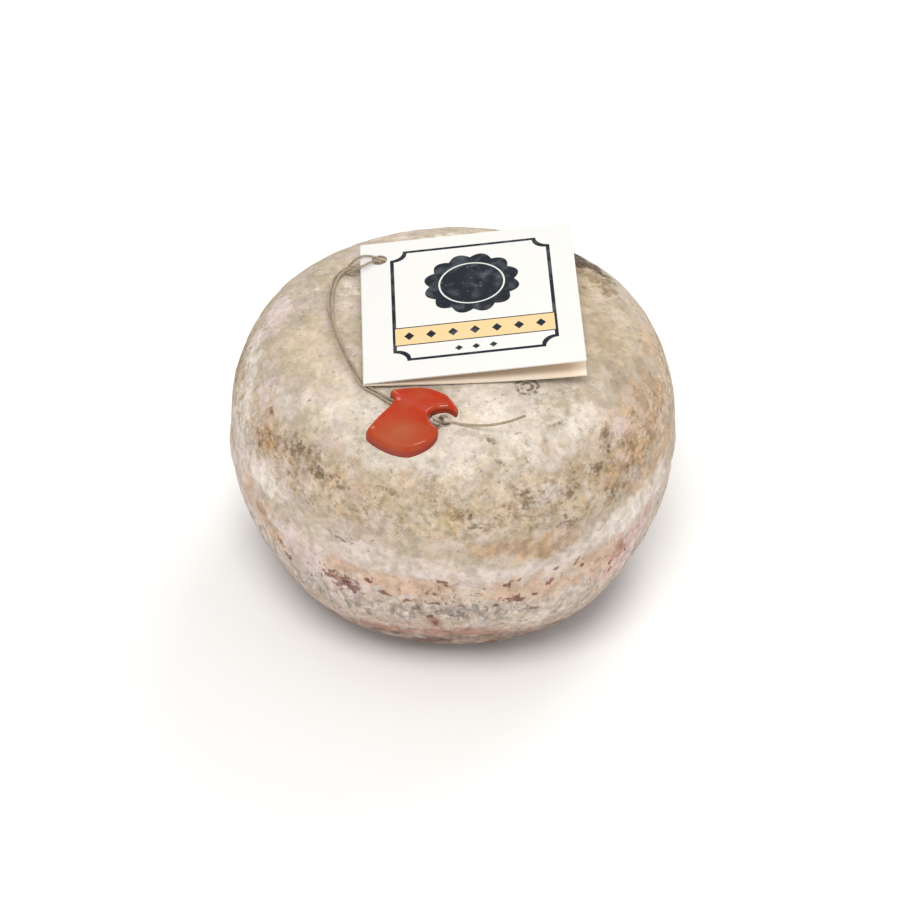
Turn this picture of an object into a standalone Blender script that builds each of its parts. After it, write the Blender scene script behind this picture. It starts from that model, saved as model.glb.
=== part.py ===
"""Truffle pecorino: a small whole wheel of ewe's-milk cheese with its folded card tag.

The wheel stands on its flat base with its origin at the middle of that base and +Z up.
The card lies on the flat of the top, hitched to a doubled twine whose other end is held
down by a wax seal.  Seen from the front (-Y), the seal is nearest and the card's spine is
on the left.  Units are metres.
"""

import math

import bmesh
import bpy
from mathutils import Euler, Vector
from mathutils.geometry import delaunay_2d_cdt

MM = 0.001

# ---- Wheel -------------------------------------------------------------------------
WHEEL_RADIUS = 68.0 * MM
BELLY_HEIGHT = 48.0 * MM        # height of the widest circle above the base
LOWER_DEPTH = 61.2 * MM         # how deep the lower half would bulge without its flat base
LOWER_POWER = 2.22              # 2 is round, larger is squarer
UPPER_DEPTH = 50.0 * MM         # the same for the upper half and its flattened top
UPPER_POWER = 2.77
TOP_RISE = 42.3 * MM            # middle of the domed top above the widest circle
TOP_FALL = 4.0 * MM             # how far the dome would fall by the wheel's full radius
BASE_BLEND = 6.0 * MM           # softness of the edge round the base
SHOULDER_BLEND = 7.0 * MM       # softness of the edge round the top
CREST_SWELL = 0.7 * MM          # the low ridge that runs round the belly
CREST_WIDTH = 3.2 * MM
CREST_HEIGHT = 50.0 * MM
CREST_WAVE = 3.0 * MM           # how far the ridge wanders up and down
TOP_UNEVEN = 0.12 * MM
# Slow waves round the side: how many, how high, and where they start.
SIDE_WAVES = [(2, 0.15 * MM, 2.3), (3, 0.6 * MM, 2.4), (5, 0.3 * MM, -1.3), (9, 0.2 * MM, 0.4)]
FOOT_WAVES = (6, 1.2 * MM, 0.2)  # the same, on the lower half alone
FOOT_FADE = 30.0 * MM
WHEEL_COLUMNS = 84
WHEEL_ROWS = 46

# ---- Folded card tag ---------------------------------------------------------------
TAG_WIDTH = 64.0 * MM           # from the spine to the free edges
TAG_LENGTH = 66.0 * MM          # along the spine
CARD_THICKNESS = 0.4 * MM
FOLD_GAP = 0.2 * MM             # between the leaves at the spine
LEAF_OPENING = math.radians(6.5)
LOWER_LEAF_CURL = 2.4 * MM      # rise of the lower leaf's free edge
LOWER_LEAF_CURL_POWER = 2.5
TAG_PLACE = Vector((4.5, 2.1, 90.5)) * MM
TAG_TURN = Euler([math.radians(angle) for angle in (1.2, 0.7, 2.7)])
HOLE_FROM_SPINE = 5.8 * MM
HOLE_FROM_FRONT = 57.5 * MM
HOLE_RADIUS = 2.4 * MM
LEAF_STEPS = 10

# ---- Wax seal ----------------------------------------------------------------------
SEAL_THICKNESS = 1.8 * MM
SEAL_RIM = 0.9 * MM             # radius of the rounded upper rim
SEAL_RIDGE = 0.45 * MM          # the low ridge over the twine sunk in the wax
SEAL_RIDGE_WIDTH = 1.8 * MM
SEAL_GRID = 1.7 * MM
SEAL_CLEFT = 12                 # which point of the outline is the cleft
REST_GAP = 0.3 * MM             # between a piece and what it lies on

# ---- Twine -------------------------------------------------------------------------
TWINE_DIAMETER = 0.8 * MM
TWINE_SPACING = 3.0 * TWINE_DIAMETER
KNOT_PLACE = Vector((-3.4, -46.2, 88.95)) * MM
KNOT_TILT = Euler((math.radians(16.0), 0.0, 0.0))
KNOT_RADIUS = 1.55 * MM
KNOT_THICKNESS = 1.2 * MM

# The seal's outline seen from above, anticlockwise from the notch that the twine enters.
SEAL_OUTLINE = [
    (-17.1, -38.1), (-18.3, -40.6), (-20.8, -43.4), (-23.1, -46.2), (-24.7, -48.9),
    (-21.4, -52.0), (-16.8, -54.4), (-12.2, -55.4), (-7.7, -54.3), (-4.9, -51.9),
    (-4.5, -49.4), (-6.2, -47.4), (-6.9, -45.7), (-6.4, -43.9), (-4.4, -42.5),
    (-1.9, -42.4), (-0.6, -43.1), (0.6, -44.0), (1.2, -42.7), (0.2, -40.3),
    (-1.9, -37.2), (-5.4, -35.1), (-9.4, -34.0), (-14.2, -33.8), (-17.6, -34.4),
    (-18.0, -36.2),
]

# The twine's route from the notch of the seal, up round the left of the card, under it,
# up through the hole, over the face to the spine and down round its own two legs, then
# the same way back to the seal.  The third number is the height over the cheese.
TWINE_ROUTE = [
    (-18.2, -37.1, 1.1), (-21.3, -34.2, 0.95), (-25.4, -30.3, 0.95), (-29.0, -23.6, 1.7),
    (-32.6, -14.0, 1.75), (-35.2, -4.0, 1.65), (-36.3, 5.0, 1.0), (-36.3, 13.0, 0.85),
    (-35.1, 20.4, 0.95), (-32.2, 23.9, 1.8), (-27.5, 24.0, 1.2), (-23.6, 24.4, 1.15),
    (-22.5, 24.5, 2.7), (-24.0, 24.0, 4.5), (-27.5, 21.3, 4.55), (-30.0, 21.2, 3.4),
    (-31.6, 22.2, 1.65), (-32.9, 23.8, 0.85), (-33.1, 24.9, 0.85), (-32.8, 26.0, 0.9),
    (-31.8, 26.3, 1.95), (-30.0, 26.4, 3.8), (-27.5, 26.3, 4.9), (-24.2, 25.8, 4.65),
    (-22.5, 25.7, 2.75), (-23.6, 25.6, 1.2), (-27.5, 25.2, 1.3), (-32.2, 25.0, 1.85),
    (-36.0, 21.5, 0.9), (-37.4, 13.2, 0.8), (-37.4, 5.0, 0.8), (-35.5, -4.2, 0.8),
    (-32.8, -14.0, 0.8), (-29.6, -23.0, 0.8), (-26.4, -30.8, 0.8), (-22.1, -34.8, 0.8),
    (-18.4, -38.6, 1.15),
]

# The free end, from the knot to its tip, which stands a little off the cheese.
FREE_END_ROUTE = [
    (-0.3, -46.5, 0.85), (1.0, -46.8, 0.8), (2.8, -47.3, 0.9), (5.5, -48.3, 1.7),
    (9.8, -49.6, 3.4), (15.1, -49.8, 5.4), (20.0, -49.3, 7.75),
]


# ---- Small helpers -----------------------------------------------------------------
def smooth_min(first, second, blend):
    """The smaller of two lengths, with the corner between them rounded over blend."""
    overlap = max(blend - abs(first - second), 0.0) / blend
    return min(first, second) - overlap * overlap * blend / 4


def linear(channel):
    """One 0-255 screen colour channel as the linear value that a shader takes."""
    value = channel / 255
    return value / 12.92 if value <= 0.04045 else ((value + 0.055) / 1.055) ** 2.4


def make_material(name, colour, roughness):
    material = bpy.data.materials.new(name)
    material.use_nodes = True
    shader = material.node_tree.nodes["Principled BSDF"]
    red, green, blue = (linear(channel) for channel in colour)
    shader.inputs["Base Color"].default_value = (red, green, blue, 1.0)
    shader.inputs["Roughness"].default_value = roughness
    shader.inputs["Metallic"].default_value = 0.0
    return material


def add_object(name, data, material, parent):
    piece = bpy.data.objects.new(name, data)
    bpy.context.scene.collection.objects.link(piece)
    data.materials.append(material)
    piece.parent = parent
    return piece


def mesh_from_faces(name, points, faces):
    mesh = bpy.data.meshes.new(name)
    mesh.from_pydata(points, [], faces)
    mesh.update()
    return mesh


def catmull_rom(points, closed, share, index):
    """A point on the smooth curve through points, at this share of the span after index."""
    count = len(points)
    if closed:
        before, start, end, after = (points[(index + k) % count] for k in (-1, 0, 1, 2))
    else:
        before, start, end, after = (
            points[min(max(index + k, 0), count - 1)] for k in (-1, 0, 1, 2)
        )
    slope_in = (end - before) / 2
    slope_out = (after - start) / 2
    s2, s3 = share**2, share**3
    return (
        start * (2 * s3 - 3 * s2 + 1)
        + slope_in * (s3 - 2 * s2 + share)
        + end * (3 * s2 - 2 * s3)
        + slope_out * (s3 - s2)
    )


# ---- Wheel -------------------------------------------------------------------------
def profile_point(turn):
    """Radius and height of the plain wheel, for turn from -90 deg (base) to 90 deg (top)."""
    across, along = abs(math.cos(turn)), abs(math.sin(turn))
    if turn < 0:
        radius = WHEEL_RADIUS * across ** (2 / LOWER_POWER)
        depth = LOWER_DEPTH * along ** (2 / LOWER_POWER)
        return radius, BELLY_HEIGHT - smooth_min(depth, BELLY_HEIGHT, BASE_BLEND)
    radius = WHEEL_RADIUS * across ** (2 / UPPER_POWER)
    rise = UPPER_DEPTH * along ** (2 / UPPER_POWER)
    dome = TOP_RISE - TOP_FALL * (radius / WHEEL_RADIUS) ** 2
    return radius, BELLY_HEIGHT + smooth_min(rise, dome, SHOULDER_BLEND)


def top_height(x, y):
    """Height of the wheel's upper surface over this point."""
    share = min(math.hypot(x, y) / WHEEL_RADIUS, 1.0)
    rise = UPPER_DEPTH * (1 - share**UPPER_POWER) ** (1 / UPPER_POWER)
    height = BELLY_HEIGHT + smooth_min(rise, TOP_RISE - TOP_FALL * share**2, SHOULDER_BLEND)
    return height + top_unevenness(x, y)


def top_unevenness(x, y):
    return TOP_UNEVEN * (math.sin(x / (9 * MM) + 0.6) + math.sin(y / (11 * MM) - x / (30 * MM)))


def side_unevenness(angle, height):
    """How far the side stands out of true: hand-turned lumps and the ridge at the belly."""
    lean = height / WHEEL_RADIUS
    out = sum(rise * math.cos(count * angle + start + lean) for count, rise, start in SIDE_WAVES)
    count, rise, start = FOOT_WAVES
    below = min(max((BELLY_HEIGHT - height) / FOOT_FADE, 0.0), 1.0)
    crest = CREST_HEIGHT - CREST_WAVE * math.sin(angle + 0.4) * math.cos(angle)
    ridge = CREST_SWELL * math.exp(-(((height - crest) / CREST_WIDTH) ** 2))
    return out + below * rise * math.cos(count * angle + start) + ridge


def profile_turns():
    """Turns that step the profile evenly, with one row on the rim of the flat base."""
    fine = 2000
    turns = [math.radians(-90 + 180 * k / fine) for k in range(fine + 1)]
    spots = [Vector(profile_point(turn)) for turn in turns]
    travelled = [0.0]
    for before, after in zip(spots, spots[1:]):
        travelled.append(travelled[-1] + (after - before).length)
    chosen = []
    step = 0
    for row in range(1, WHEEL_ROWS):
        goal = travelled[-1] * row / WHEEL_ROWS
        while travelled[step] < goal:
            step += 1
        chosen.append(turns[step])
    return chosen


def wheel_point(radius, height, angle):
    """A point of the uneven wheel; the middle of the base stays dead flat."""
    side = (radius / WHEEL_RADIUS) ** 6 * min(height / (8 * MM), 1.0)
    radius += side * side_unevenness(angle, height)
    x, y = radius * math.cos(angle), radius * math.sin(angle)
    if height > BELLY_HEIGHT:
        height += (height - BELLY_HEIGHT) / TOP_RISE * top_unevenness(x, y)
    return x, y, height


def build_wheel(parent):
    points = [wheel_point(0.0, 0.0, 0.0)]
    turns = profile_turns()
    for turn in turns:
        radius, height = profile_point(turn)
        for column in range(WHEEL_COLUMNS):
            angle = 2 * math.pi * column / WHEEL_COLUMNS
            points.append(wheel_point(radius, height, angle))
    points.append((0.0, 0.0, top_height(0.0, 0.0)))
    apex = len(points) - 1
    faces = []
    for column in range(WHEEL_COLUMNS):
        ahead = (column + 1) % WHEEL_COLUMNS
        faces.append((0, 1 + ahead, 1 + column))
        last = 1 + (len(turns) - 1) * WHEEL_COLUMNS
        faces.append((last + column, last + ahead, apex))
        for row in range(len(turns) - 1):
            low = 1 + row * WHEEL_COLUMNS
            high = low + WHEEL_COLUMNS
            faces.append((low + column, low + ahead, high + ahead, high + column))
    mesh = mesh_from_faces("cheese_wheel", points, faces)
    mesh.shade_smooth()
    return add_object("cheese_wheel", mesh, make_material("rind", (205, 190, 165), 0.85), parent)


# ---- Tag ---------------------------------------------------------------------------
def ribbon_of_card():
    """The card's cross-section: pairs of outer and inner points, from the lower leaf's free
    edge round the spine to the upper leaf's.  Measured from the spine and the underside."""
    pairs = []
    for step in range(LEAF_STEPS, 0, -1):
        out = TAG_WIDTH * step / LEAF_STEPS
        under = LOWER_LEAF_CURL * (out / TAG_WIDTH) ** LOWER_LEAF_CURL_POWER
        pairs.append(((out, under), (out, under + CARD_THICKNESS)))
    outer = CARD_THICKNESS + FOLD_GAP / 2
    inner = FOLD_GAP / 2
    for step in range(7):
        turn = math.radians(-90 - 180 * step / 6)
        across, up = math.cos(turn), math.sin(turn)
        pairs.append(((outer + outer * across, outer + outer * up),
                      (outer + inner * across, outer + inner * up)))
    for step in range(1, LEAF_STEPS + 1):
        out = TAG_WIDTH * math.cos(LEAF_OPENING) * step / LEAF_STEPS
        above = 2 * outer + out * math.tan(LEAF_OPENING)
        pairs.append(((out, above), (out, above - CARD_THICKNESS)))
    return pairs


def punch(target, place, radius, depth):
    """Cut a round hole straight down through target at place, in target's own frame."""
    mesh = bpy.data.meshes.new("punch")
    shape = bmesh.new()
    bmesh.ops.create_cone(shape, cap_ends=True, segments=20, radius1=radius, radius2=radius,
                          depth=depth)
    bmesh.ops.translate(shape, verts=shape.verts, vec=place)
    shape.to_mesh(mesh)
    shape.free()
    cutter = bpy.data.objects.new("punch", mesh)
    bpy.context.scene.collection.objects.link(cutter)
    cutter.parent = target
    cutter.hide_render = True
    cutter.display_type = "WIRE"
    cut = target.modifiers.new("punched hole", "BOOLEAN")
    cut.operation = "DIFFERENCE"
    cut.solver = "EXACT"
    cut.object = cutter


def build_tag(parent):
    pairs = ribbon_of_card()
    points = []
    for along in (-TAG_LENGTH / 2, TAG_LENGTH / 2):
        for outer, inner in pairs:
            for out, up in (outer, inner):
                points.append((out - TAG_WIDTH / 2, along, up))
    row = 2 * len(pairs)
    faces = []
    for k in range(len(pairs) - 1):
        outer, inner = 2 * k, 2 * k + 1
        faces.append((outer, inner, inner + 2, outer + 2))
        faces.append((row + outer, row + outer + 2, row + inner + 2, row + inner))
        faces.append((outer, outer + 2, row + outer + 2, row + outer))
        faces.append((inner, row + inner, row + inner + 2, inner + 2))
    faces.append((0, row, row + 1, 1))
    last = row - 2
    faces.append((last, last + 1, row + last + 1, row + last))
    mesh = mesh_from_faces("tag", points, faces)
    tag = add_object("tag", mesh, make_material("card", (244, 240, 230), 0.6), parent)
    tag.location = TAG_PLACE
    tag.rotation_euler = TAG_TURN
    hole = Vector((HOLE_FROM_SPINE - TAG_WIDTH / 2, HOLE_FROM_FRONT - TAG_LENGTH / 2, 0.0))
    punch(tag, hole, HOLE_RADIUS, 20 * MM)
    return tag


# ---- Seal --------------------------------------------------------------------------
def seal_edge():
    """The seal's outline as a close row of points on a smooth closed curve."""
    corners = [Vector(corner) * MM for corner in SEAL_OUTLINE]
    edge = []
    for index in range(len(corners)):
        for share in (0.0, 0.34, 0.67):
            edge.append(catmull_rom(corners, True, share, index))
    return edge


def rim_points(edge, distance):
    """Points this far inside the outline, without those that fold over a narrow place."""
    kept = []
    for index, point in enumerate(edge):
        ahead = edge[(index + 1) % len(edge)] - edge[index - 1]
        spot = point + Vector((-ahead.y, ahead.x)).normalized() * distance
        crowded = any((spot - other).length < 0.6 * distance for other in kept)
        if is_inside(spot, edge) and distance_to(edge, spot) > 0.9 * distance and not crowded:
            kept.append(spot)
    return kept


def grid_points(edge, clearance):
    """Evenly spaced points inside the outline, at least clearance away from it."""
    lowest = Vector((min(p.x for p in edge), min(p.y for p in edge)))
    highest = Vector((max(p.x for p in edge), max(p.y for p in edge)))
    inside = []
    for column in range(int((highest.x - lowest.x) / SEAL_GRID) + 1):
        for row in range(int((highest.y - lowest.y) / SEAL_GRID) + 1):
            spot = lowest + Vector((column + 0.5 * (row % 2), row)) * SEAL_GRID
            if is_inside(spot, edge) and distance_to(edge, spot) > clearance:
                inside.append(spot)
    return inside


def seal_lift(edge, spot):
    """Height of the wax over the cheese: a rounded rim, a flat top and a low ridge over the
    twine that runs through the wax from notch to cleft."""
    short = SEAL_RIM - min(distance_to(edge, spot), SEAL_RIM)
    lift = SEAL_THICKNESS - SEAL_RIM + math.sqrt(SEAL_RIM**2 - short**2)
    start = Vector(SEAL_OUTLINE[0]) * MM
    along = (Vector(SEAL_OUTLINE[SEAL_CLEFT]) * MM - start).normalized()
    aside = (spot - start).cross(along)
    ridge = SEAL_RIDGE * math.exp(-((aside / SEAL_RIDGE_WIDTH) ** 2))
    return lift + ridge * (1 - short / SEAL_RIM)


def build_seal(parent):
    edge = seal_edge()
    count = len(edge)
    points = []
    faces = []

    def place(spot, lift):
        points.append((spot.x, spot.y, top_height(spot.x, spot.y) + REST_GAP + lift))
        return len(points) - 1

    lower = [place(spot, 0.0) for spot in edge]
    upper = [place(spot, SEAL_THICKNESS - SEAL_RIM) for spot in edge]
    for k in range(count):
        ahead = (k + 1) % count
        faces.append((lower[k], lower[ahead], upper[ahead], upper[k]))
    borders = [(k, (k + 1) % count) for k in range(count)]
    grid = grid_points(edge, SEAL_RIM + 0.4 * SEAL_GRID)
    rim = [spot for share in (0.3, 1.0) for spot in rim_points(edge, share * SEAL_RIM)]
    for ring, inside, is_top in ((upper, rim + grid, True), (lower, grid, False)):
        spots, _, triangles, sources, *_ = delaunay_2d_cdt(edge + inside, borders, [], 1, 1e-7)
        numbers = []
        for spot, source in zip(spots, sources):
            if source[0] < count:
                numbers.append(ring[source[0]])
            else:
                numbers.append(place(spot, seal_lift(edge, spot) if is_top else 0.0))
        for triangle in triangles:
            corners = tuple(numbers[k] for k in triangle)
            faces.append(corners if is_top else corners[::-1])
    mesh = mesh_from_faces("seal", points, faces)
    mesh.shade_smooth()
    return add_object("seal", mesh, make_material("wax", (185, 58, 34), 0.35), parent)


def distance_to(outline, spot):
    """Distance from spot to the nearest point of the closed outline."""
    nearest = math.inf
    for index, start in enumerate(outline):
        side = outline[(index + 1) % len(outline)] - start
        share = min(max((spot - start).dot(side) / side.length_squared, 0.0), 1.0)
        nearest = min(nearest, (start + side * share - spot).length)
    return nearest


def is_inside(spot, outline):
    """Whether spot lies inside the closed outline: an odd number of crossings to its right."""
    crossings = 0
    for index, start in enumerate(outline):
        end = outline[(index + 1) % len(outline)]
        if (start.y > spot.y) != (end.y > spot.y):
            share = (spot.y - start.y) / (end.y - start.y)
            if start.x + share * (end.x - start.x) > spot.x:
                crossings += 1
    return crossings % 2 == 1


# ---- Twine -------------------------------------------------------------------------
def add_twine(name, route, material, parent):
    """A plain tube of twine on the smooth curve through the route's points."""
    knots = []
    for point in route:
        x, y, rise = (length * MM for length in point)
        knots.append(Vector((x, y, top_height(x, y) + rise)))
    spots = []
    for index in range(len(knots) - 1):
        span = (knots[index + 1] - knots[index]).length
        pieces = max(1, round(span / TWINE_SPACING))
        for piece in range(pieces):
            spots.append(catmull_rom(knots, False, piece / pieces, index))
    spots.append(knots[-1])
    curve = bpy.data.curves.new(name, "CURVE")
    curve.dimensions = "3D"
    curve.bevel_depth = TWINE_DIAMETER / 2
    curve.bevel_resolution = 2
    curve.use_fill_caps = True
    spline = curve.splines.new("POLY")
    spline.points.add(len(spots) - 1)
    for point, spot in zip(spline.points, spots):
        point.co = (*spot, 1.0)
    return add_object(name, curve, material, parent)


def build_knot(material, parent):
    """The outer shape of the knot in the cleft of the seal: a small flat ring."""
    mesh = bpy.data.meshes.new("string_knot")
    ring = bmesh.new()
    around, sides = 20, 10
    rows = []
    for step in range(around):
        angle = 2 * math.pi * step / around
        row = []
        for side in range(sides):
            turn = 2 * math.pi * side / sides
            reach = KNOT_RADIUS + KNOT_THICKNESS / 2 * math.cos(turn)
            row.append(ring.verts.new((reach * math.cos(angle), reach * math.sin(angle),
                                       KNOT_THICKNESS / 2 * math.sin(turn))))
        rows.append(row)
    for step in range(around):
        here, after = rows[step], rows[(step + 1) % around]
        for side in range(sides):
            up = (side + 1) % sides
            ring.faces.new((here[side], after[side], after[up], here[up]))
    ring.to_mesh(mesh)
    ring.free()
    mesh.shade_smooth()
    knot = add_object("string_knot", mesh, material, parent)
    knot.location = KNOT_PLACE
    knot.rotation_euler = KNOT_TILT
    return knot


def main():
    for old in list(bpy.data.objects):
        bpy.data.objects.remove(old, do_unlink=True)
    root = bpy.data.objects.new("pecorino", None)
    bpy.context.scene.collection.objects.link(root)
    build_wheel(root)
    build_tag(root)
    build_seal(root)
    twine = make_material("twine", (150, 132, 105), 0.9)
    add_twine("string_legs", TWINE_ROUTE, twine, root)
    build_knot(twine, root)
    add_twine("string_end", FREE_END_ROUTE, twine, root)


main()
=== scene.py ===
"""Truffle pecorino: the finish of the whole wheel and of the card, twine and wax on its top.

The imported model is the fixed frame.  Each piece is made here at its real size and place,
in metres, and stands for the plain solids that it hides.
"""

import math

import bmesh
import bpy
import numpy as np
from bpy.props import FloatProperty, FloatVectorProperty, IntProperty, PointerProperty
from bpy.types import Operator, Panel, PropertyGroup
from mathutils import Euler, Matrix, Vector
from mathutils.geometry import delaunay_2d_cdt


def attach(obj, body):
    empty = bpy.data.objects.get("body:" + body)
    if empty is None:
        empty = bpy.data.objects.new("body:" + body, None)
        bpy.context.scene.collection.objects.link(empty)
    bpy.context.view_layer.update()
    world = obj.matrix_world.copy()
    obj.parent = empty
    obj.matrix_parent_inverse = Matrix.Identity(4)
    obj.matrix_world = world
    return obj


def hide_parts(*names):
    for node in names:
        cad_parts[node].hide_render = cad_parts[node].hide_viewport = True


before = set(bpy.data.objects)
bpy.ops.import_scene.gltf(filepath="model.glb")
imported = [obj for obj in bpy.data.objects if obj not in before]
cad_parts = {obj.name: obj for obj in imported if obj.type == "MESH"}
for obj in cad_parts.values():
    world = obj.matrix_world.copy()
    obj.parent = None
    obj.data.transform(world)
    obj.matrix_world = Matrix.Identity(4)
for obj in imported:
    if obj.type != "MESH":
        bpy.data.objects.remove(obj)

bl_info = {
    "name": "Truffle Pecorino",
    "version": (1, 0, 0),
    "blender": (4, 5, 0),
    "location": "3D View > Sidebar > Pecorino",
    "description": "Builds a whole truffle pecorino with its tag, twine and wax seal",
    "category": "Object",
}

MM = 0.001
BODY = "root"

# ---- Shape of the wheel, as its solid has it -----------------------------------------
WHEEL_RADIUS = 68.0 * MM
BELLY_HEIGHT = 48.0 * MM
LOWER_DEPTH = 61.2 * MM
LOWER_POWER = 2.22
UPPER_DEPTH = 50.0 * MM
UPPER_POWER = 2.77
TOP_RISE = 42.3 * MM
TOP_FALL = 4.0 * MM
BASE_BLEND = 6.0 * MM
SHOULDER_BLEND = 7.0 * MM
CREST_SWELL = 0.7 * MM
CREST_WIDTH = 3.2 * MM
CREST_HEIGHT = 50.0 * MM
CREST_WAVE = 3.0 * MM
TOP_UNEVEN = 0.12 * MM
# How many waves go round, how far they stand out, and the angle at which they start.
SIDE_WAVES = [(2, 0.15 * MM, 2.3), (3, 0.6 * MM, 2.4), (5, 0.3 * MM, -1.3), (9, 0.2 * MM, 0.4)]
SIDE_POWER = 6                          # how fast the side's waves fade towards the middle
SIDE_FADE = 8.0 * MM                    # and how far over the base they fade
FOOT_WAVES = (6, 1.2 * MM, 0.2)
FOOT_FADE = 30.0 * MM

# ---- Shape of the tag ----------------------------------------------------------------
TAG_WIDTH = 64.0 * MM
TAG_LENGTH = 66.0 * MM
TAG_FLARE = 0.015                       # cut a little wider at its back
CARD_THICKNESS = 0.4 * MM
FOLD_GAP = 0.2 * MM
LEAF_OPENING = math.radians(6.5)
LOWER_LEAF_CURL = 2.4 * MM
LOWER_LEAF_CURL_POWER = 2.5
TAG_PLACE = Vector((4.5, 2.1, 90.5)) * MM
TAG_TURN = Euler([math.radians(angle) for angle in (1.2, 0.7, 2.7)])
HOLE_FROM_SPINE = 5.8 * MM
HOLE_FROM_FRONT = 57.5 * MM
HOLE_RADIUS = 2.4 * MM
SPINE_RADIUS = CARD_THICKNESS + FOLD_GAP / 2
SPINE_BEND = math.pi * SPINE_RADIUS     # how much of the sheet goes round the spine
LEAF_WIDTH = TAG_WIDTH - SPINE_RADIUS

# ---- Shape of the seal ---------------------------------------------------------------
SEAL_OUTLINE = [
    (-17.1, -38.1), (-18.3, -40.6), (-20.8, -43.4), (-23.1, -46.2), (-24.7, -48.9),
    (-21.4, -52.0), (-16.8, -54.4), (-12.2, -55.4), (-7.7, -54.3), (-4.9, -51.9),
    (-4.5, -49.4), (-6.2, -47.4), (-6.9, -45.7), (-6.4, -43.9), (-4.4, -42.5),
    (-1.9, -42.4), (-0.6, -43.1), (0.6, -44.0), (1.2, -42.7), (0.2, -40.3),
    (-1.9, -37.2), (-5.4, -35.1), (-9.4, -34.0), (-14.2, -33.8), (-17.6, -34.4),
    (-18.0, -36.2),
]
SEAL_CLEFT = 12                         # which point of the outline is the cleft
SEAL_LOBE = (-15.5 * MM, -49.0 * MM)    # the lobe with a painted sheen, at its front left
SEAL_FOOT = -0.15 * MM                  # its lower edge, just inside the rind
SEAL_RIDGE = 0.42 * MM                  # over the twine sunk in the wax
SEAL_RIDGE_WIDTH = 1.7 * MM
SEAL_BEAD = 0.42 * MM                   # round the border
SEAL_BEAD_WIDTH = 0.7 * MM
SEAL_BEAD_INSET = 1.0 * MM
SEAL_FOLDS = 0.13 * MM

# ---- Route of the twine: from above, with the height over the cheese -----------------
TWINE_ROUTE = [
    (-18.2, -37.1, 1.1), (-21.3, -34.2, 0.95), (-25.4, -30.3, 0.95), (-29.0, -23.6, 1.7),
    (-32.6, -14.0, 1.75), (-35.2, -4.0, 1.65), (-36.3, 5.0, 1.0), (-36.3, 13.0, 0.85),
    (-35.1, 20.4, 0.95), (-32.2, 23.9, 1.8), (-27.5, 24.0, 1.2), (-23.6, 24.4, 1.15),
    (-22.5, 24.5, 2.7), (-24.0, 24.0, 4.5), (-27.5, 21.3, 4.55), (-30.0, 21.2, 3.4),
    (-31.6, 22.2, 1.65), (-32.9, 23.8, 0.85), (-33.1, 24.9, 0.85), (-32.8, 26.0, 0.9),
    (-31.8, 26.3, 1.95), (-30.0, 26.4, 3.8), (-27.5, 26.3, 4.9), (-24.2, 25.8, 4.65),
    (-22.5, 25.7, 2.75), (-23.6, 25.6, 1.2), (-27.5, 25.2, 1.3), (-32.2, 25.0, 1.85),
    (-36.0, 21.5, 0.9), (-37.4, 13.2, 0.8), (-37.4, 5.0, 0.8), (-35.5, -4.2, 0.8),
    (-32.8, -14.0, 0.8), (-29.6, -23.0, 0.8), (-26.4, -30.8, 0.8), (-22.1, -34.8, 0.8),
    (-18.4, -38.6, 1.15),
]
FREE_END_ROUTE = [
    (-0.3, -46.5, 0.85), (1.0, -46.8, 0.8), (2.8, -47.3, 0.9), (5.5, -48.3, 1.7),
    (9.8, -49.6, 3.4), (15.1, -49.8, 5.4), (20.0, -49.3, 7.75),
]
SUNK_START = (-13.5, -40.0, 1.25)       # where the first leg begins inside the wax
SUNK_ROUTE = [(-14.5, -41.0, 1.25), (-10.5, -43.6, 1.25), (-7.4, -45.6, 1.1)]
KNOT_CENTRE = (-3.5, -46.0)
KNOT_LIFT = 1.3
KNOT_SCALE = 0.82
KNOT_DEPTH = 0.62
KNOT_OPENING = 0.62                     # angle left out at each side of its front
KNOT_STEPS = 22
ROUTE_STEPS = 12                        # from each point of a route to the next
TWINE_SPACING = 0.24 * MM               # between the even points of its path
PLY_SIDES = 8
PLY_RADIUS = 0.25                       # of the twine's diameter
PLY_REACH = (0.235, 0.28)               # least and most from its middle to a ply's, likewise

# ---- Camera and lights ---------------------------------------------------------------
CAMERA_LENS = 88.04                     # millimetres, on a sensor 36 mm wide
CAMERA_PLACE = Vector((0.0, -520.9, 485.1)) * MM
CAMERA_AIM = Vector((-1.17, -4.63, 42.49)) * MM
LIGHT_AIM = (0.0, 0.0, 0.06)
KEY_PLACE = (0.38, 0.62, 0.72)
KEY_SIZE = 0.6
FILL_PLACE = (-0.08, -0.45, 0.95)
FILL_SIZE = 0.5
FLOOR_REACH = 4.0

# ---- Fixed tints, as linear values ---------------------------------------------------
WARM_CARD = (0.92, 0.87, 0.77)
CARD_FIBRE = (0.75, 0.72, 0.66)
WORN_INK = (0.5, 0.53, 0.58)
CREASE_SHADE = (0.72, 0.64, 0.55)


def screen(red, green, blue):
    """A colour given as 0-255 screen values, as the linear values that Blender takes."""
    channels = (channel / 255 for channel in (red, green, blue))
    return tuple(c / 12.92 if c <= 0.04045 else ((c + 0.055) / 1.055) ** 2.4 for c in channels)


def colour_property(name, description, default):
    """A colour that the panel shows, from its 0-255 screen values."""
    return FloatVectorProperty(name=name, description=description, default=screen(*default),
                               subtype="COLOR", size=3, min=0.0, max=1.0)


def length_property(name, description, default):
    """A length in metres that the panel shows."""
    return FloatProperty(name=name, description=description, default=default,
                         unit="LENGTH", subtype="DISTANCE", min=0.0)


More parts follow.
